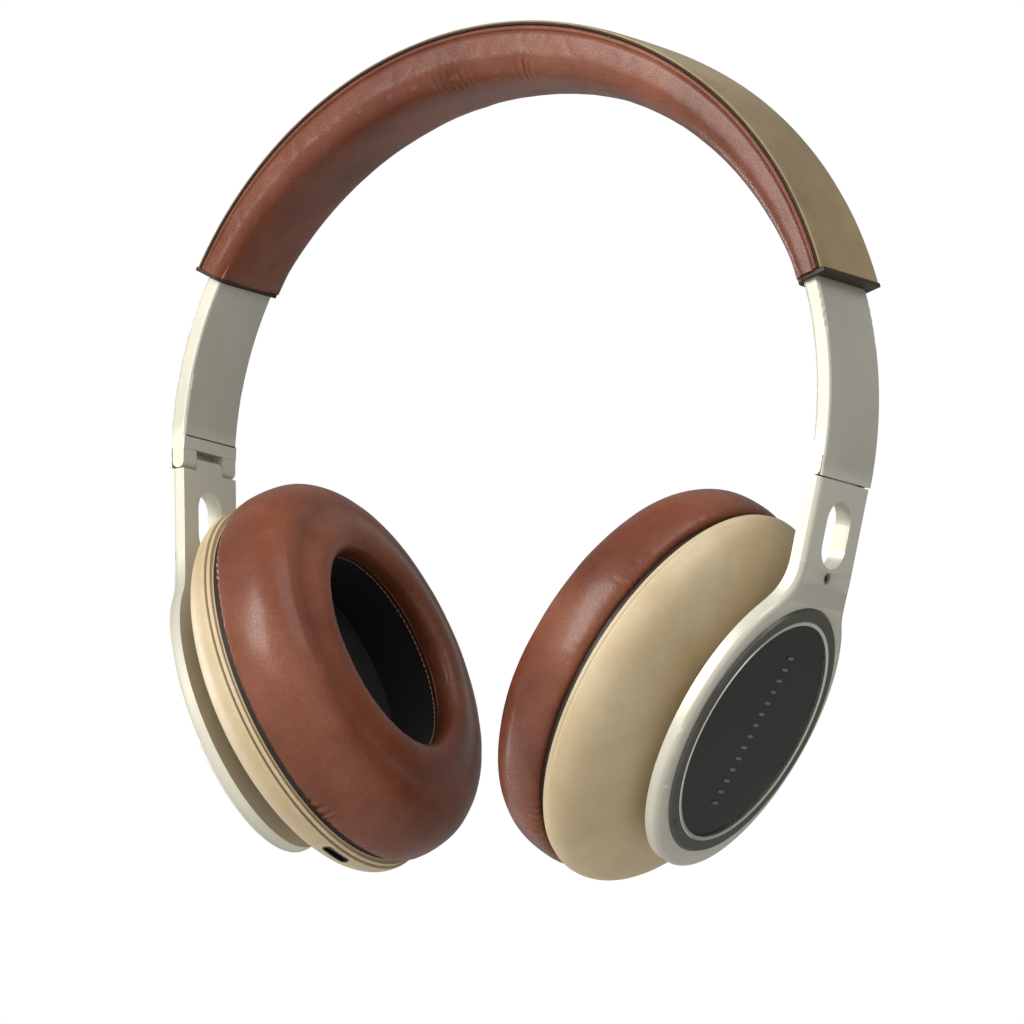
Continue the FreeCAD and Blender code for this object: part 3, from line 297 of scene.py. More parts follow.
def make_cover():
    """The cover: a leather strip with a low crown across its width and rolled edges."""
    rows = []
    edge_y = COVER_Y - COVER_EDGE_R
    edge_r = COVER_R + COVER_EDGE_R + COVER_EASE
    for angle in band_angles(420):
        ring = []
        for i in range(41):
            t = -1 + i / 20
            ring.append((edge_y * t, BAND_R - COVER_CROWN * abs(t) ** 5 - COVER_EASE))
        turn = []
        for i in range(1, 9):
            a = math.pi / 2 - math.pi * i / 8
            turn.append((edge_y + COVER_EDGE_R * math.cos(a), edge_r + COVER_EDGE_R * math.sin(a) * 0.62))
        ring = ring + turn + [(-y, r) for y, r in reversed(turn)]
        shaped = []
        for y, r in ring:
            place = band_point(r, angle, y)
            shaped.append(band_point(r + 0.03 * MM * lump(place, 160.0, 5.0), angle, y))
        rows.append(shaped)
    cover = grid_piece("cover_leather", rows, wrap_v=True, caps=True, flip=True)
    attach(cover, "headband")
    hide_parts("headband_cover")
    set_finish(cover, "tan_leather")
    return cover


def band_bead(name, radius, bead, y, ripple=0.0):
    """A round bead that follows the band."""
    rows = []
    for angle in band_angles(520, 0.002):
        drift = noise.noise(Vector((angle * 40, y * 900, 1)))
        thick = bead * (1 + ripple * math.sin(angle * 900) + ripple * 2 * drift)
        ring = []
        for i in range(14):
            a = 2 * math.pi * i / 14
            ring.append(band_point(radius + thick * math.sin(a), angle, y + thick * math.cos(a)))
        rows.append(ring)
    return grid_piece(name, rows, wrap_v=True, caps=True)


def make_piping():
    """The leather welt between pad and cover, and a dark bead along the cover's edge: its painted edge, and
    painted shade for the groove beside the welt.
    """
    welts, edges = [], []
    for side in (-1, 1):
        welts.append(band_bead("welt", COVER_R - WELT_DROP, WELT_R, side * (PAD_Y - WELT_IN), 0.03))
        # dark bead: the cover's painted edge, and painted shade of the groove between cover and welt
        edges.append(band_bead("edge", COVER_R + EDGE_RISE, EDGE_R, side * (COVER_Y - EDGE_IN)))
    welt = joined("piping_welt", welts)
    edge = joined("cover_edge_paint", edges)
    for piece, slot in ((welt, "brown_leather"), (edge, "dark_trim")):
        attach(piece, "headband")
        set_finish(piece, slot)
    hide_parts("headband_piping")
    return welt, edge


def make_bracket_seam(side):
    """The hairline across the arm's inner face where the hinge bracket meets the arm."""
    rows = []
    for i in range(25):
        y = ARM_Y * (-1 + i / 12)
        ring = []
        for k in range(8):
            a = 2 * math.pi * k / 8
            turn = SEAM_AT + SEAM_R * math.sin(a) / ARM_IN_R
            x, _, z = band_point(ARM_IN_R + SEAM_R * math.cos(a), turn, y)
            ring.append((x * SIDES[side], y, z))
        rows.append(ring)
    seam = grid_piece("bracket_seam_" + side, rows, wrap_v=True, caps=True, flip=SIDES[side] > 0)
    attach(seam, "arm_" + side)
    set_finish(seam, "dark_trim")
    return seam


# ---------------------------------------------------------------- cup geometry
def cup_frame(side):
    """The cup's centre and its directions: back, up the lean and outward."""
    joint = JOINTS["swivel_" + side]
    up = Vector(joint["axis"]).normalized()
    back = Vector((0, 1, 0))
    out = back.cross(up) * SIDES[side]
    centre = Vector(joint["pos_m"]) - out * PIVOT_OUT
    return centre, back, up, out


def ring_point(side_frame, angle, reach, out_by):
    """A point on an oval of the cup: angle from the top of the lean, reach along the lean."""
    centre, back, up, out = side_frame
    return centre + back * (reach * SQUEEZE * math.sin(angle)) + up * (reach * math.cos(angle)) + out * out_by


def smooth_closed(points, steps):
    """A closed Catmull-Rom curve through (reach, out) points."""
    pts = np.array(points, float)
    count = len(pts)
    made = []
    for i in range(count):
        p0, p1, p2, p3 = pts[i - 1], pts[i], pts[(i + 1) % count], pts[(i + 2) % count]
        for k in range(steps):
            t = k / steps
            made.append(
                0.5 * (2 * p1 + (p2 - p0) * t + (2 * p0 - 5 * p1 + 4 * p2 - p3) * t**2
                       + (3 * p1 - p0 - 3 * p2 + p3) * t**3)
            )
    return np.array(made)


CUSHION_SECTION = (
    # reach along the lean, height outward from the parting plane, in millimetres
    (27.6, -1.6), (34.0, -1.5), (41.8, -1.5), (44.2, -1.9), (45.0, -4.2), (44.95, -8.2), (44.1, -12.0),
    (42.1, -15.4), (39.6, -17.8), (36.8, -19.0), (34.4, -19.4), (31.9, -20.2), (30.0, -20.9), (28.0, -21.3),
    (26.0, -21.1), (24.6, -20.1), (24.1, -18.6), (24.3, -16.9), (24.9, -15.2), (25.6, -13.4), (26.3, -8.0),
)


CUSHION_CREASES = (
    # place round the cushion and spread, in degrees, and depth
    (216.0, 7.0, 0.45 * MM),
    (150.0, 5.0, 0.28 * MM),
    (300.0, 5.0, 0.25 * MM),
    (62.0, 5.0, 0.30 * MM),
)


def cushion_relief(angle, reach, out_by, side):
    """How far the cushion's leather stands in or out: soft lumps, gathers at its seams, a few creases."""
    place = (reach * math.sin(angle) * SQUEEZE, reach * math.cos(angle), out_by)
    soft = 0.26 * MM * lump(place, 55.0, 2.0 + side) + 0.06 * MM * lump(place, 170.0, 6.0 + side)
    deg = math.degrees(angle)
    lip = math.exp(-(((reach - 26.2 * MM) / (2.6 * MM)) ** 2)) * fade(-out_by, 15.5 * MM, 18.0 * MM)
    wander = noise.noise(Vector((deg * 0.16, 4.0 * side, 7.0)))
    gather = 0.06 * MM * lip * math.sin(deg * 0.9 + 7.0 * wander) * (0.5 + 0.5 * wander)
    foot = fade(out_by, -7.5 * MM, -2.4 * MM) * fade(reach, 40 * MM, 43 * MM)
    crimp = 0.05 * MM * foot * math.sin(deg * 1.7 + 6.0 * noise.noise(Vector((deg * 0.1, side, 2.0))))
    crease = 0.0
    for at, spread, depth in CUSHION_CREASES:
        off = (deg - at) / spread
        if abs(off) < 2.4:
            crease += depth * foot * math.exp(-off * off) * math.sin(deg * 2.3 + at + 3 * wander)
    return soft + gather + crimp + crease


def make_cushion(side):
    """The ear cushion: a crowned outer roll, a faint valley and a lip round the ear."""
    place = cup_frame(side)
    section = smooth_closed(CUSHION_SECTION, 6) * MM
    tangents = np.roll(section, -1, axis=0) - np.roll(section, 1, axis=0)
    normals = np.stack([-tangents[:, 1], tangents[:, 0]], axis=1)
    normals /= np.linalg.norm(normals, axis=1)[:, None]
    rows = []
    turns = 360
    for i in range(turns):
        angle = 2 * math.pi * i / turns
        ring = []
        for (reach, out_by), normal in zip(section, normals):
            relief = cushion_relief(angle, reach, out_by, SIDES[side])
            ring.append(ring_point(place, angle, reach - normal[0] * relief, out_by - normal[1] * relief))
        rows.append(ring)
    cushion = grid_piece("cushion_leather_" + side, rows, wrap_u=True, wrap_v=True, flip=SIDES[side] < 0)
    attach(cushion, "cup_" + side)
    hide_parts("ear_cushion_" + side)
    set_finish(cushion, "brown_leather")
    return cushion


def oval_bead(name, side, reach, out_by, bead):
    """A round bead that follows an oval of the cup."""
    place = cup_frame(side)
    rows = []
    turns = 240
    for i in range(turns):
        angle = 2 * math.pi * i / turns
        ring = []
        for k in range(10):
            a = 2 * math.pi * k / 10
            ring.append(ring_point(place, angle, reach + bead * math.cos(a), out_by + bead * math.sin(a)))
        rows.append(ring)
    return grid_piece(name, rows, wrap_u=True, wrap_v=True, flip=SIDES[side] > 0)


def make_liner_seam(side):
    """The sewn seam inside the ear opening: a thin welt with stitches beside it."""
    seam = oval_bead("liner_seam_" + side, side, LIP_R + 0.25 * MM, LIP_OUT - 0.3 * MM, 0.30 * MM)
    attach(seam, "cup_" + side)
    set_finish(seam, "brown_leather")
    stitches = []
    place = cup_frame(side)
    reach, out_by = LIP_R + 0.05 * MM, LIP_OUT + 0.6 * MM
    half = STITCH_L / 2 / (reach * MEAN_SHARE)
    for i in range(STITCHES):
        middle = 2 * math.pi * i / STITCHES
        rows = []
        for k in range(7):
            t = -1 + k / 3
            bow = 0.16 * MM * (1 - t * t)
            centre = ring_point(place, middle + half * t, reach - bow, out_by)
            girth = STITCH_R * math.sqrt(1 - (abs(t) * 0.96) ** 4)
            ring = []
            inward = (place[0] + place[3] * out_by - centre).normalized()
            for s in range(6):
                a = 2 * math.pi * s / 6
                ring.append(centre + inward * (girth * math.cos(a)) + place[3] * (girth * math.sin(a)))
            rows.append(ring)
        stitches.append(grid_piece("stitch", rows, wrap_v=True, caps=True))
    thread = joined("liner_stitches_" + side, stitches)
    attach(thread, "cup_" + side)
    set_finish(thread, "dark_trim")
    return seam, thread


def make_speaker_cloth(side):
    """The knit cloth over the driver: a shallow dome with a low wave in it."""
    place = cup_frame(side)
    rings = 26
    rows = []
    for k in range(rings + 1):
        share = k / rings
        reach = FLOOR_R * (1 - share) + 0.02 * MM
        dome = DOME_H * (1 - (1 - share) ** 2)
        cone = CONE_H * math.cos(share * math.pi * 3) * share
        ring = []
        for i in range(120):
            angle = 2 * math.pi * i / 120
            ring.append(ring_point(place, angle, reach, CUSHION_TOP - 0.45 * MM - dome - cone))
        rows.append(ring)
    cloth = grid_piece("speaker_knit_" + side, rows, wrap_v=True, flip=SIDES[side] > 0)
    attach(cloth, "cup_" + side)
    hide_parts("speaker_cloth_" + side)
    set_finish(cloth, "speaker_fabric")
    return cloth


def make_lining(side):
    """The black knit strip sewn in at the lip, which lines the wall of the ear opening."""
    place = cup_frame(side)
    low, high = Vector((LIP_R, LIP_OUT)), Vector((LINING_FOOT_R, CUSHION_TOP - 0.5 * MM))
    rows = []
    for k in range(17):
        reach, out_by = low.lerp(high, k / 16)
        ring = []
        for i in range(160):
            angle = 2 * math.pi * i / 160
            ripple = lump((math.sin(angle), math.cos(angle), out_by * 90), 2.6, 4)
            slack = 0.12 * MM * math.sin(math.pi * k / 16) * ripple
            ring.append(ring_point(place, angle, reach - slack, out_by))
        rows.append(ring)
    lining = grid_piece("ear_lining_" + side, rows, wrap_v=True, flip=SIDES[side] > 0)
    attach(lining, "cup_" + side)
    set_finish(lining, "speaker_fabric")
    return lining


def make_badge_marks(side):
    """A plain row of short grey bars along the badge."""
    centre, back, up, out = cup_frame(side)
    pieces = []
    for i in range(BARS):
        along = PLATE_RISE + (i - (BARS - 1) / 2) * BAR_PITCH
        at = centre + up * along + out * (PLATE_OUT + BAR_FLOOR)
        rows = []
        for level, shrink in ((-BAR_T, 1.0), (BAR_T * 0.4, 1.0), (BAR_T, 0.72)):
            ring = []
            for k in range(20):
                a = 2 * math.pi * k / 20
                wide = BAR_WIDE * shrink * math.copysign(abs(math.cos(a)) ** 0.6, math.cos(a))
                long = BAR_LONG * shrink * math.copysign(abs(math.sin(a)) ** 0.6, math.sin(a))
                ring.append(at + up * wide + back * long + out * level)
            rows.append(ring)
        pieces.append(grid_piece("bar", rows, wrap_v=True, caps=True, flip=SIDES[side] < 0))
    marks = joined("badge_bars_" + side, pieces)
    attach(marks, "yoke_" + side)
    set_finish(marks, "screw_steel")
    return marks


# ---------------------------------------------------------------- materials
class Surface:
    """A small builder for one procedural material."""

    def __init__(self, name, **constants):
        self.material = bpy.data.materials.new(name)
        self.material.use_nodes = True
        self.tree = self.material.node_tree
        self.shader = self.tree.nodes["Principled BSDF"]
        self.place = self.add("ShaderNodeTexCoord").outputs["Object"]
        for socket, value in constants.items():
            self.shader.inputs[socket.replace("_", " ")].default_value = value

    def add(self, kind, **settings):
        node = self.tree.nodes.new(kind)
        for key, value in settings.items():
            setattr(node, key, value)
        return node

    def join(self, source, node, socket):
        self.tree.links.new(source, node.inputs[socket])

    def noise(self, scale, detail=3.0, rough=0.5, warp=0.0, where=None):
        node = self.add("ShaderNodeTexNoise")
        node.inputs["Scale"].default_value = scale
        node.inputs["Detail"].default_value = detail
        node.inputs["Roughness"].default_value = rough
        node.inputs["Distortion"].default_value = warp
        self.join(where or self.place, node, "Vector")
        return node.outputs["Fac"]

    def cells(self, scale, where=None, feature="DISTANCE_TO_EDGE", jitter=1.0):
        node = self.add("ShaderNodeTexVoronoi", feature=feature)
        node.inputs["Scale"].default_value = scale
        node.inputs["Randomness"].default_value = jitter
        self.join(where or self.place, node, "Vector")
        return node.outputs["Distance"]

    def math(self, operation, a, b=None):
        node = self.add("ShaderNodeMath", operation=operation)
        for index, value in enumerate((a, b)):
            if value is None:
                continue
            if isinstance(value, (int, float)):
                node.inputs[index].default_value = value
            else:
                self.tree.links.new(value, node.inputs[index])
        return node.outputs[0]

    def ramp(self, source, *stops):
        """Colours or greys along a value: each stop is (position, colour or grey)."""
        node = self.add("ShaderNodeValToRGB")
        band = node.color_ramp
        while len(band.elements) < len(stops):
            band.elements.new(0.5)
        for element, (position, value) in zip(band.elements, stops):
            element.position = position
            element.color = (*value, 1) if isinstance(value, tuple) else (value, value, value, 1)
        self.join(source, node, "Fac")
        return node.outputs["Color"]

    def mix(self, share, a, b):
        node = self.add("ShaderNodeMix", data_type="RGBA")
        for value, index in ((share, 0), (a, 6), (b, 7)):
            if isinstance(value, (int, float)):
                node.inputs[index].default_value = value
            elif isinstance(value, tuple):
                node.inputs[index].default_value = (*value, 1)
            else:
                self.tree.links.new(value, node.inputs[index])
        return node.outputs[2]

    def range(self, source, low, high, from_low=0.0, from_high=1.0):
        node = self.add("ShaderNodeMapRange")
        node.inputs["From Min"].default_value = from_low
        node.inputs["From Max"].default_value = from_high
        node.inputs["To Min"].default_value = low
        node.inputs["To Max"].default_value = high
        self.join(source, node, "Value")
        return node.outputs["Result"]

    def bump(self, height, depth, strength=1.0, below=None):
        node = self.add("ShaderNodeBump")
        node.inputs["Strength"].default_value = strength
        node.inputs["Distance"].default_value = depth
        self.join(height, node, "Height")
        if below is not None:
            self.join(below, node, "Normal")
        return node.outputs["Normal"]

    def finish(self, colour, roughness, normal=None):
        for source, socket in ((colour, "Base Color"), (roughness, "Roughness"), (normal, "Normal")):
            if source is not None:
                self.join(source, self.shader, socket)
        return self.material

    def edge_wear_and_highlight(self):
        """1 on convex edges, 0 on flats: the mask for edges made lighter, as painted highlight and as wear.
        """
        return self.range(self.add("ShaderNodeNewGeometry").outputs["Pointiness"], 0.0, 1.0, 0.515, 0.56)


def leather(name, dark, mid, light, grain, depth=0.05 * MM, rough=(0.40, 0.58), sheen=0.08, coat=0.0,
            specular=0.5):
    """Pebbled leather with pores, fine creases, blotches, painted shade in the grain's valleys, and lighter
    convex edges painted as highlight and wear.
    """
    s = Surface(name, Sheen_Weight=sheen, Sheen_Roughness=0.5, Coat_Weight=coat, Coat_Roughness=0.22)
    s.shader.inputs["Specular IOR Level"].default_value = specular
    warp = s.add("ShaderNodeVectorMath", operation="MULTIPLY_ADD")
    offset = s.add("ShaderNodeTexNoise")
    offset.inputs["Scale"].default_value = 500.0
    s.join(s.place, offset, "Vector")
    s.join(offset.outputs["Color"], warp, 0)
    warp.inputs[1].default_value = (0.0012, 0.0012, 0.0012)
    s.join(s.place, warp, 2)
    pebble = s.cells(grain, warp.outputs[0])
    pores = s.cells(grain * 2.3, warp.outputs[0], feature="F1")
    raised = s.ramp(pebble, (0.0, 0.0), (0.16, 0.75), (0.5, 1.0))
    broad = s.noise(38.0, 4.0, 0.55)
    blotch = s.noise(170.0, 5.0, 0.6)
    tone = s.ramp(broad, (0.30, dark), (0.52, mid), (0.74, light))
    tone = s.mix(s.range(blotch, 0.0, 0.30, 0.35, 0.75), tone, dark)
    # painted shade: the pebble grain's valleys darkened toward a deeper brown
    tone = s.mix(s.range(raised, 0.30, 0.0), tone, tuple(0.55 * c for c in dark))
    # painted highlight and wear: convex edges lighter
    tone = s.mix(s.range(s.edge_wear_and_highlight(), 0.0, 0.35), tone, light)
    height = s.mix(0.22, raised, s.ramp(pores, (0.0, 0.0), (0.55, 1.0)))
    creases = s.ramp(s.noise(330.0, 6.0, 0.62, 0.8), (0.44, 1.0), (0.50, 0.35), (0.56, 1.0))
    normal = s.bump(creases, 0.035 * MM, 0.35)
    normal = s.bump(height, depth, 0.8, normal)
    uneven = s.mix(0.5, s.noise(120.0, 3.0), s.range(raised, 1.0, 0.35))
    return s.finish(tone, s.range(uneven, rough[0], rough[1], 0.2, 0.8), normal)


def satin_metal(name, dark, mid, light, metallic, rough, brush):
    """Bead-blasted or brushed metal with cloudy tone, grit, smudges and lighter edges painted as highlight,
    standing also for wear.
    """
    s = Surface(name)
    s.shader.inputs["Metallic"].default_value = metallic
    s.shader.inputs["Specular IOR Level"].default_value = 0.5
    s.shader.inputs["Coat Weight"].default_value = 0.12
    s.shader.inputs["Coat Roughness"].default_value = 0.3
    cloud = s.noise(26.0, 4.0)
    grit = s.noise(5200.0, 2.0)
    tone = s.ramp(cloud, (0.30, dark), (0.50, mid), (0.72, light))
    tone = s.mix(s.range(grit, 0.0, 0.22, 0.35, 0.7), tone, light)
    # painted highlight on convex edges, standing also for wear
    tone = s.mix(s.range(s.edge_wear_and_highlight(), 0.0, 0.5), tone, tuple(min(1, 1.25 * c) for c in light))
    where = s.place
    if brush:
        mapping = s.add("ShaderNodeMapping")
        mapping.inputs["Scale"].default_value = brush
        s.join(s.place, mapping, "Vector")
        where = mapping.outputs["Vector"]
    lines = s.noise(900.0, 3.0, 0.6, 0.0, where)
    normal = s.bump(grit, 0.010 * MM, 0.35)
    normal = s.bump(lines, 0.012 * MM, 0.5 if brush else 0.15, normal)
    smudge = s.noise(75.0, 5.0, 0.65)
    return s.finish(tone, s.range(s.mix(0.5, smudge, lines), rough[0], rough[1], 0.25, 0.75), normal)


def moulded(name, mid, light, rough, texture):
    """Moulded plastic, film or thread with a fine textured skin."""
    s = Surface(name)
    s.shader.inputs["Specular IOR Level"].default_value = 0.3
    grain = s.cells(texture, feature="SMOOTH_F1")
    cloud = s.noise(90.0, 5.0, 0.6)
    tone = s.mix(s.range(cloud, 0.0, 1.0, 0.35, 0.7), mid, light)
    # painted highlight on convex edges, standing also for wear
    tone = s.mix(s.range(s.edge_wear_and_highlight(), 0.0, 0.4), tone, tuple(min(1, 1.6 * c + 0.01) for c in light))
    normal = s.bump(grain, 0.02 * MM, 0.5)
    return s.finish(tone, s.range(s.noise(300.0, 4.0), rough[0], rough[1], 0.3, 0.7), normal)


def knit(name, yarn, hole_shade):
    """A fine knit: rows of small holes between yarns, painted darker as shade in the openings, with fuzz."""
    s = Surface(name, Sheen_Weight=0.06, Sheen_Roughness=0.6)
    s.shader.inputs["Specular IOR Level"].default_value = 0.25
    holes = s.cells(1500.0, feature="F1", jitter=0.15)
    fuzz = s.noise(6000.0, 3.0)
    open_share = s.ramp(holes, (0.18, 1.0), (0.42, 0.0))
    # painted shade: the holes between yarns darker than the yarn
    tone = s.mix(open_share, yarn, hole_shade)
    tone = s.mix(s.range(fuzz, 0.0, 0.4, 0.4, 0.7), tone, tuple(1.8 * c for c in yarn))
    normal = s.bump(s.math("SUBTRACT", 1.0, open_share), 0.12 * MM, 0.9)
    return s.finish(tone, s.range(fuzz, 0.75, 0.95), normal)


def gloss_badge(name):
    """Black gloss with faint swirls and a little dust."""
    s = Surface(name, Coat_Weight=0.06, Coat_Roughness=0.15)
    s.shader.inputs["Specular IOR Level"].default_value = 0.3
    swirl = s.noise(60.0, 4.0)
    dust = s.noise(2600.0, 2.0)
    tone = s.mix(s.range(swirl, 0.0, 1.0, 0.3, 0.7), (0.006, 0.006, 0.005), (0.013, 0.012, 0.011))
    tone = s.mix(s.range(dust, 0.0, 0.25, 0.62, 0.75), tone, (0.06, 0.06, 0.058))
    return s.finish(tone, s.range(swirl, 0.26, 0.36), s.bump(dust, 0.004 * MM, 0.3))


BROWN = ((0.108, 0.027, 0.011), (0.186, 0.052, 0.023), (0.262, 0.090, 0.046))
TAN = ((0.235, 0.160, 0.070), (0.335, 0.240, 0.115), (0.430, 0.325, 0.175))
CREAM = ((0.46, 0.345, 0.185), (0.56, 0.435, 0.255), (0.66, 0.545, 0.360))

METALS = {
    # slot: name, dark, middle and light tone, metallic share, roughness from and to, stretch of the brushing
    "arm_metal": ("metal_champagne", (0.43, 0.412, 0.335), (0.50, 0.482, 0.395), (0.57, 0.552, 0.462),
                  0.30, (0.36, 0.48), None),
    "bezel_metal": ("metal_bezel", (0.040, 0.039, 0.032), (0.062, 0.060, 0.049), (0.100, 0.097, 0.081),
                    0.8, (0.28, 0.42), (1, 1, 14)),
    "bright_rim": ("metal_bright", (0.34, 0.325, 0.27), (0.44, 0.425, 0.36), (0.56, 0.545, 0.47),
                   0.9, (0.20, 0.32), None),
    "screw_steel": ("steel_dark", (0.09, 0.087, 0.078), (0.14, 0.135, 0.122), (0.21, 0.205, 0.188),
                    0.6, (0.30, 0.45), None),
    "spring_steel": ("steel_rolled", (0.28, 0.28, 0.28), (0.36, 0.36, 0.36), (0.46, 0.46, 0.46),
                     1.0, (0.24, 0.40), (12, 1, 1)),
    "magnet_metal": ("magnet_nickel", (0.38, 0.38, 0.37), (0.46, 0.46, 0.45), (0.55, 0.55, 0.54),
                     1.0, (0.20, 0.32), None),
    "socket_metal": ("socket_plated", (0.035, 0.034, 0.032), (0.06, 0.058, 0.054), (0.12, 0.115, 0.11),
                     0.8, (0.30, 0.45), None),
    "battery_foil": ("foil_pouch", (0.36, 0.38, 0.41), (0.46, 0.48, 0.51), (0.56, 0.58, 0.61),
                     0.9, (0.30, 0.50), None),
}

MOULDED = {
    # slot: name, middle and light tone, roughness from and to, scale of the texture
    "dark_trim": ("trim_dark_brown", (0.012, 0.006, 0.004), (0.028, 0.013, 0.008), (0.42, 0.56), 2600.0),
    "inner_plastic": ("plastic_black", (0.010, 0.006, 0.004), (0.018, 0.011, 0.008), (0.42, 0.60), 2600.0),
    "pivot_plastic": ("plastic_nylon", (0.030, 0.029, 0.027), (0.055, 0.053, 0.050), (0.50, 0.70), 2600.0),
    "cable_jacket": ("jacket_rubber", (0.014, 0.014, 0.014), (0.030, 0.030, 0.030), (0.50, 0.70), 2600.0),
    "diaphragm_film": ("film_amber", (0.30, 0.22, 0.09), (0.42, 0.33, 0.16), (0.25, 0.40), 2600.0),
    "board_green": ("board_mask", (0.012, 0.085, 0.035), (0.03, 0.14, 0.06), (0.30, 0.45), 2600.0),
    "thread": ("thread_brown", (0.20, 0.085, 0.05), (0.34, 0.16, 0.10), (0.60, 0.80), 5200.0),
}


def make_materials():
    """Every material, by the slot that it stands for."""
    made = {
        "brown_leather": leather("leather_brown", *BROWN, grain=1350.0, rough=(0.32, 0.44), sheen=0.0,
                                 coat=0.22, specular=0.22),
        "tan_leather": leather("leather_tan", *TAN, grain=1900.0, depth=0.035 * MM, rough=(0.46, 0.62)),
        "shell_tan": leather("shell_tan_soft", *CREAM, grain=2600.0, depth=0.018 * MM, rough=(0.42, 0.56),
                             sheen=0.04),
        "badge_gloss": gloss_badge("badge_black"),
        "speaker_fabric": knit("knit_black", (0.006, 0.006, 0.006), (0.0012, 0.0012, 0.0012)),
    }
    for slot, values in METALS.items():
        made[slot] = satin_metal(*values)
    for slot, values in MOULDED.items():
        made[slot] = moulded(*values)
    return made


SHOWN_AS = {"cup_shell": "shell_tan", "trim_ring": "shell_tan"}
THREADS = ("liner_stitches",)


def paint(made):
    """Gives every carried-over CAD node and every new piece the material of its slot."""
    slots = {s["node"]: s["material_slot"] for s in frame["record"]["subparts"]}
    for node, piece in frame["nodes"].items():
        stem = node.rsplit("_", 1)[0]
        piece.data.materials.clear()
        piece.data.materials.append(made[SHOWN_AS.get(stem, slots[node])])
    for piece in bpy.context.scene.objects:
        if piece.type == "MESH" and "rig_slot" in piece and piece.name not in frame["nodes"]:
            piece.data.materials.clear()
            thread = piece.name.startswith(THREADS)
            piece.data.materials.append(made["thread" if thread else piece["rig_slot"]])


def smooth_frame_nodes():
    """Rounds the shading of the machined and moulded CAD pieces without moving them."""
    for piece in frame["nodes"].values():
        if piece.hide_render:
            continue
        bevel = piece.modifiers.new("edge", "BEVEL")
        bevel.width = 0.12 * MM
        bevel.segments = 2
        bevel.limit_method = "ANGLE"
        bevel.angle_limit = math.radians(40)
        bevel.harden_normals = False
        bevel.use_clamp_overlap = True


# ---------------------------------------------------------------- camera and studio
VIEW_AZ = math.radians(34.03)     # camera to the object's right of straight ahead
VIEW_EL = math.radians(-6.51)     # a little below it
VIEW_ROLL = math.radians(5.16)
VIEW_DISTANCE = 2.5
VIEW_TARGET = Vector((0.0, 0.0, -0.0945))
VIEW_LENS = 398.0
WORLD_LIGHT = 0.35    # what the pale surroundings give the object
WORLD_SEEN = 1.02     # how bright they look behind it
FLOOR_HALF = 6.0
FLOOR_Z = -0.42


def view_axes():
    level = math.cos(VIEW_EL)
    toward = Vector((-math.sin(VIEW_AZ) * level, math.cos(VIEW_AZ) * level, -math.sin(VIEW_EL)))
    right = Vector((math.cos(VIEW_AZ), math.sin(VIEW_AZ), 0))
    return toward, right, right.cross(toward)


def make_camera():
    toward, right, up = view_axes()
    camera = bpy.data.objects.new("camera", bpy.data.cameras.new("camera"))
    bpy.context.scene.collection.objects.link(camera)
    camera.location = VIEW_TARGET - toward * VIEW_DISTANCE
    rolled_up = up * math.cos(VIEW_ROLL) - right * math.sin(VIEW_ROLL)
    rolled_right = right * math.cos(VIEW_ROLL) + up * math.sin(VIEW_ROLL)
    matrix = camera.matrix_world.to_3x3()
    for row in range(3):
        matrix[row][0] = rolled_right[row]
        matrix[row][1] = rolled_up[row]
        matrix[row][2] = -toward[row]
    camera.rotation_euler = matrix.to_euler()
    camera.data.lens = VIEW_LENS
    camera.data.clip_start = 0.01
    camera.data.clip_end = 100.0
    bpy.context.scene.camera = camera


LIGHTS = (
    # name, place as seen by the camera (right, away, up), size, watts, colour
    ("key_left", (-0.95, -0.60, 0.55), (0.5, 0.7), 14.0, (1.0, 0.985, 0.965)),
    ("rim_left", (-0.85, 0.65, -0.30), (0.35, 0.7), 9.0, (1, 1, 1)),
    ("low_left", (-1.10, -0.30, -0.45), (0.5, 0.7), 1.5, (1, 1, 1)),
    ("front_fill", (0.35, -1.60, 0.30), (1.2, 1.2), 4.0, (0.97, 0.985, 1.0)),
    ("low_right", (0.95, -0.55, -0.55), (0.6, 0.6), 2.0, (1, 1, 1)),
    ("top_soft", (0.30, -0.50, 1.10), (0.8, 0.8), 6.0, (1, 1, 1)),
)


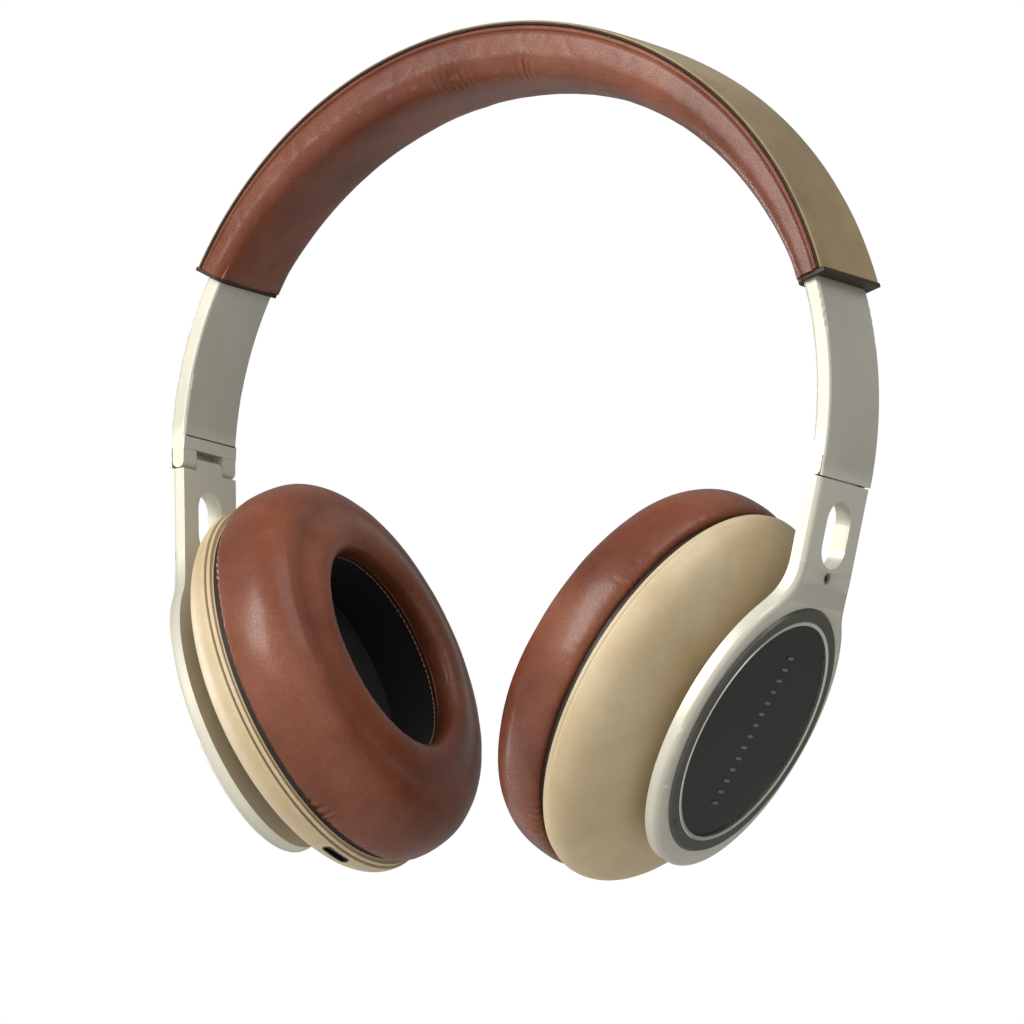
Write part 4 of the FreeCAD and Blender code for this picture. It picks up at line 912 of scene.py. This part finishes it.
def softbox(name, place, size, watts, colour):
    """A soft rectangular light that faces the object."""
    lamp = bpy.data.lights.new(name, "AREA")
    lamp.shape = "RECTANGLE"
    lamp.size, lamp.size_y = size
    lamp.energy = watts
    lamp.color = colour
    holder = bpy.data.objects.new(name, lamp)
    bpy.context.scene.collection.objects.link(holder)
    holder.location = place
    holder.rotation_euler = (VIEW_TARGET - place).to_track_quat("-Z", "Y").to_euler()


def make_studio():
    toward, right, up = view_axes()
    for name, place, size, watts, colour in LIGHTS:
        softbox(name, VIEW_TARGET + right * place[0] + toward * place[1] + up * place[2], size, watts, colour)
    half = FLOOR_HALF
    corners = [(x, y, FLOOR_Z) for x, y in ((-half, -half), (half, -half), (half, half), (-half, half))]
    mesh = bpy.data.meshes.new("floor")
    mesh.from_pydata(corners, [], [(0, 1, 2, 3)])
    floor = link("floor", mesh)
    s = Surface("floor_pale")
    speck = s.noise(12.0, 4.0)
    tone = s.mix(s.range(speck, 0.0, 1.0), (0.68, 0.68, 0.67), (0.72, 0.72, 0.715))
    s.finish(tone, s.range(speck, 0.7, 0.85))
    mesh.materials.append(s.material)
    world = bpy.data.worlds.new("studio")
    world.use_nodes = True
    tree = world.node_tree
    background = tree.nodes["Background"]
    background.inputs["Color"].default_value = (0.985, 0.988, 0.99, 1)
    seen = tree.nodes.new("ShaderNodeLightPath").outputs["Is Camera Ray"]
    strength = tree.nodes.new("ShaderNodeMapRange")
    strength.inputs["To Min"].default_value = WORLD_LIGHT
    strength.inputs["To Max"].default_value = WORLD_SEEN
    tree.links.new(seen, strength.inputs["Value"])
    tree.links.new(strength.outputs["Result"], background.inputs["Strength"])
    bpy.context.scene.world = world
    bpy.context.scene.view_settings.view_transform = "Standard"


make_camera()
make_studio()
make_pad()
make_cover()
make_piping()
for side in SIDES:
    make_bracket_seam(side)
    make_cushion(side)
    make_liner_seam(side)
    make_lining(side)
    make_speaker_cloth(side)
    make_badge_marks(side)
smooth_frame_nodes()
paint(make_materials())
